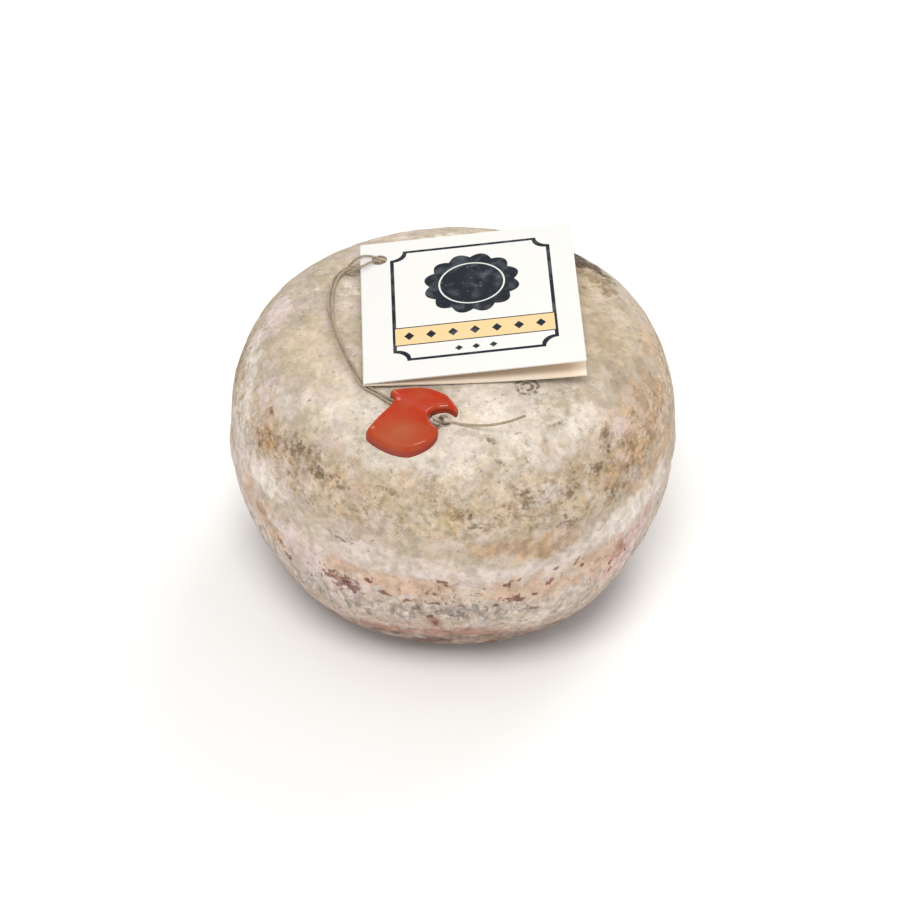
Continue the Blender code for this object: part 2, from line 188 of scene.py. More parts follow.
# ---- Settings ------------------------------------------------------------------------
class WheelSettings(PropertyGroup):
    """Sizes and colours of the rind."""
    columns: IntProperty(name="Columns", description="Faces round the wheel",
                         default=420, min=24, max=460)
    rows: IntProperty(name="Rows", description="Faces from the middle of the top to the base's",
                      default=208, min=24, max=230)
    lump_size: length_property("Lump size", "Distance between the rind's soft lumps", 9 * MM)
    lump_height: length_property("Lump height", "How far the lumps stand out", 0.55 * MM)
    pit_size: length_property("Pit size", "Distance between the rind's small pits", 3.2 * MM)
    pit_depth: length_property("Pit depth", "How deep the small pits are", 0.3 * MM)
    top: colour_property("Top", "Tan rind of the top", (184, 170, 149))
    bloom: colour_property("Bloom", "Cream bloom in the middle of the top", (226, 215, 200))
    shoulder: colour_property("Shoulder", "Browned rind round the top", (203, 184, 157))
    side: colour_property("Side", "Grey-beige rind of the upper side", (196, 180, 160))
    crest: colour_property("Crest", "White bloom on the ridge", (219, 205, 196))
    peach: colour_property("Peach", "Smooth patches below the ridge", (214, 181, 155))
    belly: colour_property("Belly", "Rind below the ridge", (214, 198, 185))
    foot: colour_property("Foot", "Rind near the base", (201, 182, 168))
    # Painted shade: the darker rind round the base is the contact shadow where it curves under.
    base: colour_property("Base", "Darker rind round the base", (112, 80, 70))
    mould: colour_property("Mould", "Grey-green mould", (116, 112, 104))
    brown: colour_property("Brown", "Brown stains", (134, 104, 60))
    # Near-black: painted shadow in the hollow at the knot's foot, and dark patches at the back
    # right by the card
    burnt: colour_property("Burnt", "Blackened crust", (52, 41, 28))
    orange: colour_property("Orange", "Orange-tan stains", (212, 167, 122))
    olive: colour_property("Olive", "Yellow-olive stains", (192, 174, 134))
    red: colour_property("Red", "Red-brown spots", (112, 70, 60))
    rose: colour_property("Rose", "Pink-red smears near the base", (178, 122, 102))
    blush: colour_property("Blush", "Pink flush at the right of the ridge", (224, 178, 170))
    lilac: colour_property("Lilac", "Lilac-pink bloom", (217, 196, 192))
    # Also painted light: pale strips down the left side and at the right of the ridge.
    pale: colour_property("Pale", "Palest bloom", (246, 236, 226))
    dark: colour_property("Dark", "Dark specks", (88, 68, 42))


class TagSettings(PropertyGroup):
    """Colours of the folded card."""
    card: colour_property("Card", "Outside of the card", (226, 224, 220))
    # Partly painted light: a warm cream made lighter to lift the shade inside the fold.
    inside: colour_property("Inside", "Inside of the card", (241, 223, 202))
    ink: colour_property("Ink", "Dark ink", (22, 27, 36))
    band: colour_property("Band", "Yellow ink", (230, 200, 148))


class SealSettings(PropertyGroup):
    """Sizes and colours of the wax seal."""
    wax: colour_property("Wax", "Sealing wax", (176, 48, 6))
    cloud: colour_property("Cloud", "Duller clouds in the wax", (168, 74, 34))
    # Painted reflection: a dull tan sheen on the front left lobe of the wax.
    lobe: colour_property("Lobe", "Scuffed lobe at the front left", (170, 88, 52))
    dust: colour_property("Dust", "Dust on the wax", (190, 110, 70))
    # Painted shade: the side walls get darker wax, and the wall inside the cleft darker still.
    wall: colour_property("Wall", "Wax of the side walls", (118, 26, 8))
    hollow: colour_property("Hollow", "Shaded wall inside the cleft", (70, 30, 20))
    thickness: length_property("Thickness", "Height of the wax over the rind", 2.1 * MM)
    rim: length_property("Rim", "Radius of the rounded edge", 0.75 * MM)
    grid: length_property("Grid", "Distance between the points of its surface", 0.36 * MM)


class TwineSettings(PropertyGroup):
    """Sizes and colours of the twine."""
    twine: colour_property("Twine", "Natural fibre", (155, 136, 112))
    pale: colour_property("Pale", "Palest fibres", (187, 169, 145))
    dark: colour_property("Dark", "Darker stretches", (108, 94, 76))
    knot: colour_property("Knot", "Loosened fibres of the knot", (216, 206, 190))
    core: colour_property("Core", "Shaded middle of the knot", (66, 52, 40))
    diameter: length_property("Diameter", "Thickness of the whole twine", 0.8 * MM)
    lay: length_property("Lay", "Length of one turn of its plies", 2.6 * MM)
    plies: IntProperty(name="Plies", description="Yarns twisted together", default=3, min=2, max=4)


class StageSettings(PropertyGroup):
    """Floor and lights."""
    floor: colour_property("Floor", "Plain pale floor", (250, 249, 247))
    key: FloatProperty(name="Key", description="Power of the soft key light",
                       default=3.5, min=0.0, unit="POWER")
    fill: FloatProperty(name="Fill", description="Power of the high front light",
                        default=5.4, min=0.0, unit="POWER")
    sky: FloatProperty(name="Sky", description="Strength of the light from all round",
                       default=0.6, min=0.0)


class PecorinoSettings(PropertyGroup):
    """All the settings of the cheese."""
    wheel: PointerProperty(type=WheelSettings, name="Wheel", description="The rind")
    tag: PointerProperty(type=TagSettings, name="Tag", description="The folded card")
    seal: PointerProperty(type=SealSettings, name="Seal", description="The wax seal")
    twine: PointerProperty(type=TwineSettings, name="Twine", description="The twine")
    stage: PointerProperty(type=StageSettings, name="Stage", description="Floor and lights")


# ---- Node trees ----------------------------------------------------------------------
class Tree:
    """A node tree with short ways to add and join its nodes."""

    def __init__(self, tree):
        self.tree = tree

    def add(self, kind, values=None, **settings):
        """A new node with these settings, its inputs set or joined."""
        node = self.tree.nodes.new(kind)
        for name, value in settings.items():
            setattr(node, name, value)
        for place, value in (values or {}).items():
            self.feed(node.inputs[place], value)
        return node

    def feed(self, socket, value):
        if isinstance(value, bpy.types.NodeSocket):
            self.tree.links.new(value, socket)
        else:
            socket.default_value = value

    def use(self, name, values, output="Mask"):
        """A shared group, placed here with its own values."""
        return self.add("ShaderNodeGroup", values,
                        node_tree=bpy.data.node_groups[name]).outputs[output]

    def attribute(self, name):
        """A number kept on each point of the mesh."""
        return self.add("ShaderNodeAttribute", attribute_name=name).outputs["Fac"]

    def math(self, operation, first, second=0.0, clamp=False):
        return self.add("ShaderNodeMath", {0: first, 1: second}, operation=operation,
                        use_clamp=clamp).outputs[0]

    def plus(self, first, second):
        return self.math("ADD", first, second)

    def minus(self, first, second):
        return self.math("SUBTRACT", first, second)

    def times(self, first, second):
        return self.math("MULTIPLY", first, second)

    def over(self, first, second):
        return self.math("DIVIDE", first, second)

    def vector(self, operation, first, second=(0.0, 0.0, 0.0)):
        node = self.add("ShaderNodeVectorMath", {0: first, 1: second}, operation=operation)
        return node.outputs["Value" if operation == "DISTANCE" else 0]

    def scale(self, vector, factor):
        return self.add("ShaderNodeVectorMath", {0: vector, "Scale": factor},
                        operation="SCALE").outputs[0]

    def step(self, value, low, high, start=0.0, end=1.0):
        """A soft step from start to end as value goes from low to high."""
        return self.add("ShaderNodeMapRange",
                        {"Value": value, "From Min": low, "From Max": high,
                         "To Min": start, "To Max": end},
                        interpolation_type="SMOOTHSTEP").outputs["Result"]

    def mix(self, share, first, second, mode="MIX"):
        node = self.add("ShaderNodeMix", {0: share}, data_type="RGBA", blend_type=mode)
        self.feed(node.inputs[6], as_colour(first))
        self.feed(node.inputs[7], as_colour(second))
        return node.outputs[2]

    def noise(self, vector, size, detail=3.0, roughness=0.5):
        """Soft noise between about 0.25 and 0.75 whose waves are this size."""
        waves = self.over(1.0, size) if isinstance(size, bpy.types.NodeSocket) else 1.0 / size
        return self.add("ShaderNodeTexNoise",
                        {"Vector": self.scale(vector, waves), "Scale": 1.0, "Detail": detail,
                         "Roughness": roughness}).outputs[0]

    def ramp(self, value, stops):
        node = self.add("ShaderNodeValToRGB", {0: value})
        elements = node.color_ramp.elements
        while len(elements) < len(stops):
            elements.new(0.5)
        for element, (place, colour) in zip(elements, stops):
            element.position = place
            element.color = as_colour(colour)
        return node.outputs[0]


def as_colour(value):
    """A three-part colour with its alpha, or a socket as it is."""
    if isinstance(value, bpy.types.NodeSocket):
        return value
    return (*tuple(value)[:3], 1.0)


SOCKETS = {"value": "NodeSocketFloat", "vector": "NodeSocketVector",
           "geometry": "NodeSocketGeometry", "material": "NodeSocketMaterial"}


def new_group(name, inputs, outputs, tree_type="ShaderNodeTree"):
    """A node group with named sockets, given as name, kind and perhaps a default: its tree,
    and the sockets of its input and output nodes."""
    group = bpy.data.node_groups.new(name, tree_type)
    for in_out, sockets in (("INPUT", inputs), ("OUTPUT", outputs)):
        for label, kind, *default in sockets:
            socket = group.interface.new_socket(name=label, in_out=in_out,
                                                socket_type=SOCKETS[kind])
            if default:
                socket.default_value = default[0]
    tree = Tree(group)
    return tree, tree.add("NodeGroupInput").outputs, tree.add("NodeGroupOutput").inputs


def new_geometry_tree(name, numbers):
    """Geometry nodes with these inputs between their geometry and their material."""
    return new_group(name, [("Geometry", "geometry"), *((label, "value") for label in numbers),
                            ("Material", "material")],
                     [("Geometry", "geometry")], "GeometryNodeTree")


def end_geometry_tree(tree, entry, leave, geometry):
    """Put the geometry out as real faces in the tree's material."""
    realized = tree.add("GeometryNodeRealizeInstances", {0: geometry})
    painted = tree.add("GeometryNodeSetMaterial",
                       {"Geometry": realized.outputs[0], "Material": entry["Material"]})
    tree.feed(leave["Geometry"], painted.outputs[0])
    return tree.tree


def make_shared_groups():
    """The effects that several materials use."""
    vector = ("Vector", "vector", (0.0, 0.0, 0.0))

    # Small separate spots, as of mould or bran.
    tree, entry, leave = new_group("Spots", [
        vector, ("Spacing", "value", 0.001), ("Share", "value", 0.5),
        ("Spot Size", "value", 0.3), ("Softness", "value", 0.1), ("Seed", "value", 0.0)],
        [("Mask", "value")])
    place = tree.scale(entry["Vector"], tree.over(1.0, entry["Spacing"]))
    place = tree.vector("ADD", place, entry["Seed"])
    wobble = tree.add("ShaderNodeTexNoise", {"Vector": place, "Scale": 2.3, "Detail": 2.0})
    moved = tree.vector("ADD", place, tree.scale(
        tree.vector("SUBTRACT", wobble.outputs[1], (0.5, 0.5, 0.5)), 0.55))
    cells = tree.add("ShaderNodeTexVoronoi", {"Vector": moved, "Scale": 1.0})
    draw = tree.add("ShaderNodeSeparateColor", {0: cells.outputs["Color"]}).outputs
    reach = tree.times(entry["Spot Size"], tree.step(draw[1], 0.0, 1.0, 0.45, 1.3))
    inside = tree.step(tree.minus(reach, cells.outputs["Distance"]),
                       tree.times(entry["Softness"], -1.0), entry["Softness"])
    chosen = tree.math("LESS_THAN", draw[0], entry["Share"])
    tree.feed(leave["Mask"], tree.times(inside, chosen))

    # Ragged stains with soft or hard borders.
    tree, entry, leave = new_group("Stains", [
        vector, ("Size", "value", 0.01), ("Share", "value", 0.5),
        ("Softness", "value", 0.08), ("Roughness", "value", 0.6), ("Seed", "value", 0.0)],
        [("Mask", "value")])
    place = tree.scale(entry["Vector"], tree.over(1.0, entry["Size"]))
    cloud = tree.noise(tree.vector("ADD", place, entry["Seed"]), 1.0, detail=5.0,
                       roughness=entry["Roughness"])
    edge = tree.step(entry["Share"], 0.0, 1.0, 0.74, 0.26)
    tree.feed(leave["Mask"], tree.step(tree.minus(cloud, edge),
                                       tree.times(entry["Softness"], -1.0), entry["Softness"]))

    # Fine grain for the bump of any dull surface.
    tree, entry, leave = new_group("Grain", [
        vector, ("Size", "value", 0.001), ("Coarse", "value", 0.5)], [("Height", "value")])
    fine = tree.noise(entry["Vector"], entry["Size"], detail=4.0, roughness=0.6)
    broad = tree.noise(entry["Vector"], tree.times(entry["Size"], 4.0), detail=2.0)
    tree.feed(leave["Height"], tree.plus(tree.times(broad, entry["Coarse"]), fine))


def new_material(name, roughness, specular=0.5, sheen=0.0):
    """A material, its tree, its shader's inputs and its Object coordinates."""
    material = bpy.data.materials.new(name)
    material.use_nodes = True
    tree = Tree(material.node_tree)
    shader = material.node_tree.nodes["Principled BSDF"].inputs
    shader["Roughness"].default_value = roughness
    shader["Specular IOR Level"].default_value = specular
    shader["Sheen Weight"].default_value = sheen
    return material, tree, shader, tree.add("ShaderNodeTexCoord").outputs["Object"]


def bump(tree, shader, height, distance, strength):
    """Make the surface of a material seem uneven."""
    node = tree.add("ShaderNodeBump", {"Height": height, "Distance": distance,
                                       "Strength": strength})
    tree.feed(shader["Normal"], node.outputs[0])


# ---- Meshes --------------------------------------------------------------------------
SAME_POINT = 1e-7                       # points of a flat net closer than this are one


def catmull_rom(points, closed, share, index):
    """A point on the smooth curve through points, at this share of the span after index."""
    around = range(index - 1, index + 3)
    if closed:
        before, start, end, after = (points[k % len(points)] for k in around)
    else:
        before, start, end, after = (points[min(max(k, 0), len(points) - 1)] for k in around)
    slope_in = (end - before) / 2
    slope_out = (after - start) / 2
    s2, s3 = share**2, share**3
    return (start * (2 * s3 - 3 * s2 + 1) + slope_in * (s3 - 2 * s2 + share)
            + end * (3 * s2 - 2 * s3) + slope_out * (s3 - s2))


def is_inside(spot, outline):
    """Whether spot lies inside the closed outline."""
    crossings = 0
    for index, start in enumerate(outline):
        end = outline[(index + 1) % len(outline)]
        if (start[1] > spot[1]) != (end[1] > spot[1]):
            share = (spot[1] - start[1]) / (end[1] - start[1])
            crossings += start[0] + share * (end[0] - start[0]) > spot[0]
    return crossings % 2 == 1


def distance_to(outline, spot):
    """Distance from spot to the nearest point of the closed outline."""
    nearest = math.inf
    for index, start in enumerate(outline):
        side = outline[(index + 1) % len(outline)] - start
        share = min(max((spot - start).dot(side) / side.length_squared, 0.0), 1.0)
        nearest = min(nearest, (start + side * share - spot).length)
    return nearest


def add_piece(name, mesh, materials, node_names):
    """Put a finished mesh in the scene as the piece that stands for these nodes."""
    for material in materials:
        mesh.materials.append(material)
    piece = bpy.data.objects.new(name, mesh)
    bpy.context.scene.collection.objects.link(piece)
    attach(piece, BODY)
    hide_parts(*node_names)
    return piece


def mesh_from_faces(name, points, faces, smooth=True):
    """A mesh of these points and faces."""
    mesh = bpy.data.meshes.new(name)
    mesh.from_pydata(points, [], faces)
    mesh.update()
    if smooth:
        mesh.shade_smooth()
    return mesh


def run_geometry_tree(name, mesh_or_curve, tree, values):
    """Run a geometry tree on some data with these inputs, and give back the plain mesh."""
    helper = bpy.data.objects.new(name + " source", mesh_or_curve)
    bpy.context.scene.collection.objects.link(helper)
    modifier = helper.modifiers.new(tree.name, "NODES")
    modifier.node_group = tree
    sockets = {item.name: item.identifier for item in tree.interface.items_tree
               if item.item_type == "SOCKET" and item.in_out == "INPUT"}
    for label, value in values.items():
        modifier[sockets[label]] = value
    view = bpy.context.evaluated_depsgraph_get()
    view.update()
    mesh = bpy.data.meshes.new_from_object(helper.evaluated_get(view), depsgraph=view)
    mesh.name = name
    mesh.materials.clear()
    helper.modifiers.remove(modifier)
    bpy.data.objects.remove(helper, do_unlink=True)
    if not mesh.polygons:
        raise RuntimeError(name + ": its geometry tree made no faces")
    return mesh


# ---- The wheel's form ----------------------------------------------------------------
def hump(offset, width):
    """A bell curve of height 1 at no offset."""
    return math.exp(-((offset / width) ** 2))


def smooth_min(first, second, blend):
    """The smaller of two values, with a soft change from one to the other."""
    overlap = max(blend - abs(first - second), 0.0) / blend
    return min(first, second) - overlap * overlap * blend / 4


def profile_point(turn):
    """Radius and height of the plain wheel, for turn from -90 deg (base) to 90 deg (top)."""
    across, along = abs(math.cos(turn)), abs(math.sin(turn))
    if turn < 0:
        radius = WHEEL_RADIUS * across ** (2 / LOWER_POWER)
        depth = LOWER_DEPTH * along ** (2 / LOWER_POWER)
        return radius, BELLY_HEIGHT - smooth_min(depth, BELLY_HEIGHT, BASE_BLEND)
    radius = WHEEL_RADIUS * across ** (2 / UPPER_POWER)
    rise = UPPER_DEPTH * along ** (2 / UPPER_POWER)
    dome = TOP_RISE - TOP_FALL * (radius / WHEEL_RADIUS) ** 2
    return radius, BELLY_HEIGHT + smooth_min(rise, dome, SHOULDER_BLEND)


def top_unevenness(x, y):
    """How far the top lies over or under its even dome at this point."""
    return TOP_UNEVEN * (math.sin(x / (9 * MM) + 0.6) + math.sin(y / (11 * MM) - x / (30 * MM)))


def top_height(x, y):
    """Height of the wheel's upper surface over this point."""
    share = min(math.hypot(x, y) / WHEEL_RADIUS, 1.0)
    rise = UPPER_DEPTH * (1 - share**UPPER_POWER) ** (1 / UPPER_POWER)
    height = BELLY_HEIGHT + smooth_min(rise, TOP_RISE - TOP_FALL * share**2, SHOULDER_BLEND)
    return height + top_unevenness(x, y)


def side_unevenness(angle, height):
    """How far the side stands out there: its waves, those of its foot, and the ridge."""
    lean = height / WHEEL_RADIUS
    out = sum(rise * math.cos(count * angle + start + lean) for count, rise, start in SIDE_WAVES)
    count, rise, start = FOOT_WAVES
    below = min(max((BELLY_HEIGHT - height) / FOOT_FADE, 0.0), 1.0)
    crest = CREST_HEIGHT - CREST_WAVE * math.sin(angle + 0.4) * math.cos(angle)
    ridge = CREST_SWELL * hump(height - crest, CREST_WIDTH)
    return out + below * rise * math.cos(count * angle + start) + ridge


def wheel_point(radius, height, angle):
    """A point of the uneven wheel, from its plain radius and height."""
    side = (radius / WHEEL_RADIUS) ** SIDE_POWER * min(height / SIDE_FADE, 1.0)
    radius += side * side_unevenness(angle, height)
    x, y = radius * math.cos(angle), radius * math.sin(angle)
    if height > BELLY_HEIGHT:
        height += (height - BELLY_HEIGHT) / TOP_RISE * top_unevenness(x, y)
    return x, y, height


def profile_rows(rows):
    """Evenly spaced rows, each with its radius, height and way down from the middle of the
    top, and the whole way down to the middle of the base."""
    fine = 6000
    spots = [profile_point(math.radians(90 - 180 * k / fine)) for k in range(fine + 1)]
    travelled = [0.0]
    for before, after in zip(spots, spots[1:]):
        travelled.append(travelled[-1] + math.dist(before, after))
    chosen = []
    step = 0
    for row in range(1, rows):
        goal = travelled[-1] * row / rows
        while travelled[step] < goal:
            step += 1
        chosen.append((*spots[step], goal))
    return chosen, travelled[-1]


def wheel_mesh(columns, rows):
    """The wheel's form as a close net of faces, with the way down the rind on each point."""
    chosen, whole = profile_rows(rows)
    points = [(0.0, 0.0, top_height(0.0, 0.0))]
    downs = [0.0]
    for radius, height, down in chosen:
        for column in range(columns):
            points.append(wheel_point(radius, height, 2 * math.pi * column / columns))
            downs.append(down)
    points.append((0.0, 0.0, 0.0))
    downs.append(whole)
    last = len(points) - 1
    low = last - columns
    faces = []
    for column in range(columns):
        ahead = (column + 1) % columns
        faces.append((0, 1 + column, 1 + ahead))
        faces.append((last, low + ahead, low + column))
        for row in range(len(chosen) - 1):
            high = 1 + row * columns
            under = high + columns
            faces.append((high + column, under + column, under + ahead, high + ahead))
    mesh = mesh_from_faces("wheel form", points, faces)
    places = np.array(points)
    fields = stain_fields(np.arctan2(places[:, 0], -places[:, 1]), np.array(downs))
    fields["down"] = downs
    for name, values in fields.items():
        mesh.attributes.new(name, "FLOAT", "POINT").data.foreach_set("value", values)
    return mesh


def rind_relief_tree():
    """Geometry nodes that raise lumps and sink pits in the rind, least on the top."""
    tree, entry, leave = new_geometry_tree(
        "Rind Relief", ("Lump Size", "Lump Height", "Pit Size", "Pit Depth", "Seed"))
    place = tree.add("GeometryNodeInputPosition").outputs[0]
    normal = tree.add("GeometryNodeInputNormal").outputs[0]
    down = tree.add("GeometryNodeInputNamedAttribute", {"Name": "down"},
                    data_type="FLOAT").outputs["Attribute"]

    def cloud(size, shift, detail):
        """Noise through the cheese, with waves of this size."""
        moved = tree.vector("ADD", tree.scale(place, tree.over(1.0, size)), (shift, 0.0, 0.0))
        return tree.add("ShaderNodeTexNoise",
                        {"Vector": moved, "W": entry["Seed"], "Scale": 1.0, "Detail": detail},
                        noise_dimensions="4D").outputs[0]

    lumps = tree.minus(cloud(entry["Lump Size"], 0.0, 2.0), 0.5)
    pits = tree.step(cloud(entry["Pit Size"], 7.0, 3.0), 0.52, 0.7)
    loose = tree.plus(tree.step(down, 50 * MM, 66 * MM, 0.18, 1.0),
                      tree.step(down, 132 * MM, 150 * MM, 0.0, -1.0))
    lift = tree.minus(tree.times(tree.times(lumps, 2.0), entry["Lump Height"]),
                      tree.times(pits, entry["Pit Depth"]))
    moved = tree.add("GeometryNodeSetPosition",
                     {"Geometry": entry["Geometry"],
                      "Offset": tree.scale(normal, tree.times(lift, loose))})
    return end_geometry_tree(tree, entry, leave, moved.outputs[0])


# Stains, and some painted light and shade, at their places on the rind: degrees round
# from the front, millimetres down from the middle of the top, and half their width and
# height in the same measures.
PATCHES = {
    "tan": [(-76, 46, 12, 8), (86, 48, 14, 16)],
    # The broad blooms at (8, 47) and (26, 36), over the front of the top, are partly painted
    # light.
    "bloom": [(-165, 30, 50, 16), (-38, 48, 16, 12), (-14, 60, 18, 7), (8, 47, 34, 17),
        (26, 36, 34, 12), (38, 56, 12, 6)],
    "olive": [(-150, 74, 16, 6), (-75, 42, 16, 10), (-48, 46, 12, 7), (-44, 57, 10, 4),
        (3, 76, 11, 6), (45, 84, 8, 5), (60, 24, 40, 9), (78, 32, 22, 10), (82, 44, 18, 9),
        (112, 44, 16, 9), (130, 82, 14, 6)],
    "brown": [(-172, 66, 12, 5), (-130, 70, 18, 7), (-95, 72, 9, 5), (-58, 71, 3.5, 3.5),
        (-53, 70, 5, 2.5), (-45, 67, 7, 4), (-36, 70, 5, 2), (-20, 68.5, 5, 1.2),
        (2, 73.5, 3, 1.4), (13.8, 72, 2.2, 1.8), (18.3, 70.5, 2.6, 2.4), (30, 72, 3, 2),
        (30, 81.5, 3, 1.6), (33, 53.2, 3, 1), (40, 70, 2.6, 2), (43, 79, 4, 3), (47, 64, 3, 3),
        (51, 67.5, 2.5, 1.6), (51, 76, 4, 3), (54, 70.6, 3, 1.8), (105, 70, 10, 5),
        (118, 50, 10, 4), (126, 47.5, 6, 3), (132, 52, 14, 7), (140, 66, 15, 8)],
    "orange": [(-100, 80, 12, 6), (-58, 72, 6, 4), (11, 85, 8, 3), (22, 87, 9, 4),
        (44, 74, 6, 5), (56, 84, 8, 4), (58, 70, 14, 11), (62, 70, 9, 5), (66, 61, 5, 4),
        (68, 82, 7, 6), (70, 62, 7, 3.5), (74, 69, 7, 5), (88, 60, 8, 4), (120, 75, 14, 6),
        (170, 80, 10, 5)],
    # Painted light: the places from -101 to -56 deg down the left side, and (48, 91), (51, 104),
    # (65, 91) at the right of the ridge; the rest are pale blooms.
    "pale": [(-101, 55, 7, 4), (-90, 62, 6, 4), (-81, 67, 8, 8), (-73, 75, 8, 9),
        (-65, 84, 8, 8), (-56, 84, 8, 6), (22, 71, 6, 3), (23, 119, 7, 3), (48, 91, 14, 6),
        (51, 104, 8, 7), (65, 91, 6, 5)],
    # (4.5, 49.6), (8.5, 51) and (12, 56.5) are painted shadow of the twine's free end; the rest
    # are brown smears.
    "smear": [(-56.5, 97, 3.5, 2.2), (-52.5, 99.5, 3, 2.4), (-33, 46, 3, 1.2),
        (4.5, 49.6, 4, 1.2), (8.5, 51, 3, 1), (12, 56.5, 1.6, 3.4), (12, 84.5, 8, 3),
        (26, 88, 7, 3.5), (31.3, 82.5, 3, 2), (33, 53.5, 4, 1.3), (64, 54, 5, 3),
        (66.5, 61.5, 4, 3), (70, 50, 6, 4), (72, 58.8, 3, 3), (74, 62.4, 3, 2.4),
        (74, 65.9, 3, 2), (76.5, 57.5, 3, 3), (80, 46, 8, 5), (85, 59, 3, 2), (90, 44, 8, 5),
        (124, 48, 12, 7), (128, 46, 8, 4)],
    "blush": [(44, 110, 5, 5), (46, 105, 6, 5), (50, 102, 7, 5), (57, 98, 4, 4)],
    "white": [(-120, 91, 22, 4), (-60, 60, 8, 4), (-52, 82, 12, 6), (-25, 90, 17, 4),
        (-5, 92, 14, 3), (24, 70.5, 3, 2), (26, 62, 8, 3), (35, 92, 8, 3), (55, 93, 12, 4),
        (100, 92, 20, 4), (165, 92, 16, 4)],
    "peach": [(-165, 103, 12, 5), (-120, 99, 16, 7), (-63, 95, 4, 5), (-56, 98, 5, 6),
        (-51, 102, 4, 5), (-27, 99, 7, 4), (-12, 101.5, 13, 5.5), (13, 102, 5, 5),
        (22, 103, 8, 5), (38, 102, 9, 6), (100, 102, 20, 6), (160, 98, 22, 7)],
    "lilac": [(-98, 55, 10, 5), (-80, 106, 14, 8), (-66, 62, 5, 4), (-40, 103, 7, 8),
        (-27, 108, 8, 5), (0, 110, 8, 3), (47, 107, 5, 5), (51, 64.5, 5, 3.5), (51, 104, 10, 9),
        (53, 104, 6, 6), (57, 99.5, 5, 4), (60, 97, 4, 3), (150, 110, 20, 8)],
    "rose": [(-140, 122, 12, 4), (-55, 124, 8, 3), (-23, 127, 5, 2.5), (-16, 127, 7, 3),
        (-5, 125, 10, 4), (-4.5, 119, 2, 5), (6, 124, 9, 3.5), (45.5, 103, 3, 3),
        (60, 125, 8, 3), (120, 124, 10, 3.5), (170, 126, 12, 3)],
    "mould": [(-150, 112, 20, 5), (-70, 112, 18, 6), (-40, 114, 10, 5), (-29, 110, 5, 3),
        (-20, 114, 14, 4), (-2, 111, 20, 5), (12, 113, 12, 4), (55, 114, 6, 5),
        (95, 112, 20, 6), (170, 114, 16, 5)],
    # Of the dark places, (-6.2, 47.6) and (-3.2, 46.6) are painted shadow under the knot; the rest
    # are dark specks.
    "dark": [(-61, 64, 1.2, 1.2), (-47, 69, 1.6, 1.2), (-45, 66.5, 2, 1.5), (-42, 65, 1.5, 1),
        (-37.2, 70.2, 1.8, 1.5), (-31.8, 69.3, 1.8, 0.8), (-29.5, 71, 1.2, 0.9),
        (-28, 88.3, 1.8, 1.1), (-28, 105.6, 2, 1.4), (-9, 111, 1.4, 1), (-6.2, 47.6, 2.2, 1),
        (-4, 112.2, 1.6, 1), (-3.2, 46.6, 2.4, 0.8), (1.2, 113.1, 1.8, 1.8),
        (5.2, 76.8, 1.2, 0.8), (11.5, 52.8, 1.1, 0.9), (12.5, 59.2, 1.1, 0.8),
        (17, 79.7, 6, 0.35), (18, 68.8, 1.6, 0.8), (18.8, 72, 1.8, 1), (28.2, 79.5, 1.2, 0.8),
        (29.8, 72.6, 1.6, 0.9), (39.8, 69.8, 1.5, 1.2), (44.5, 66.6, 1.2, 1.2),
        (46.2, 62.6, 1.2, 1.2), (53.8, 116.9, 1.4, 1.4), (58.8, 63.1, 1.3, 1),
        (120, 54.8, 5, 1.2)],
    "red": [(-171, 106, 1.4, 0.9), (-150, 104, 2.6, 1), (-133, 107, 1.6, 1),
        (-112, 103, 2.4, 1.1), (-90, 106, 1.6, 0.9), (-49, 104, 1.3, 1.6),
        (-46.8, 107.2, 1.2, 1.4), (-30.3, 104.1, 3.2, 2.1), (-28.4, 105.3, 3.1, 2.6),
        (-26.6, 106.4, 2.5, 2.3), (-21.5, 102.3, 1, 0.8), (-17.6, 105.4, 1.6, 0.8),
        (-15.8, 106.4, 1.2, 0.7), (-13.2, 82.3, 0.7, 0.7), (-11.8, 107.7, 1.6, 0.8),
        (-6.2, 101.8, 1.5, 1), (-6, 115, 1.1, 1.6), (-5.2, 102.7, 1, 0.8),
        (-4.8, 118, 0.9, 1.8), (-4.2, 107.5, 2.4, 0.7), (-2.3, 97.4, 1.9, 1.2),
        (-1, 105.9, 0.9, 0.8), (5.8, 102.4, 1.1, 0.8), (7.3, 99.6, 0.9, 0.8),
        (10.5, 108.2, 1.1, 0.8), (12, 105.4, 0.9, 0.8), (12.6, 99.1, 1.4, 0.6),
        (15.2, 97.8, 1, 0.9), (15.2, 105.9, 1.9, 1.8), (20.5, 105.2, 1, 0.9),
        (20.5, 112, 1, 0.8), (23.8, 101.6, 1.2, 1), (25.2, 96.9, 0.8, 0.8), (31, 97, 0.9, 1.3),
        (32.6, 100.1, 1, 0.8), (42, 105.6, 0.9, 1), (42.8, 109.5, 0.8, 1), (75, 105, 2, 1),
        (100, 104, 2.4, 1), (112, 107, 1.6, 1), (128, 103, 2.6, 1), (150, 106, 1.6, 0.9),
        (171, 103, 2.4, 1.1)],
    # The first two are painted shadow in the hollow at the knot's foot; the rest are near-black
    # patches at the back right, by the card's edge.
    "burnt": [(-6.4, 48, 1.6, 1), (-2.8, 46.2, 1.7, 1), (125, 54.5, 5, 1.8),
        (129, 49.5, 2.5, 1.2), (130, 53.5, 6, 3.6), (136, 54, 9, 5)],
    "wrinkled": [(-52, 76, 12, 5), (20, 76, 14, 3), (56, 72, 18, 10), (120, 72, 24, 8)],
}
FAR_AWAY = 5.0                          # past every place of a kind of stain
RING_CENTRE = (21.0 * MM, -31.0 * MM)
RING_RADII = (1.5 * MM, 3.1 * MM)
RING_LINE = (0.35 * MM, 0.75 * MM)      # half its width where full, and where it ends
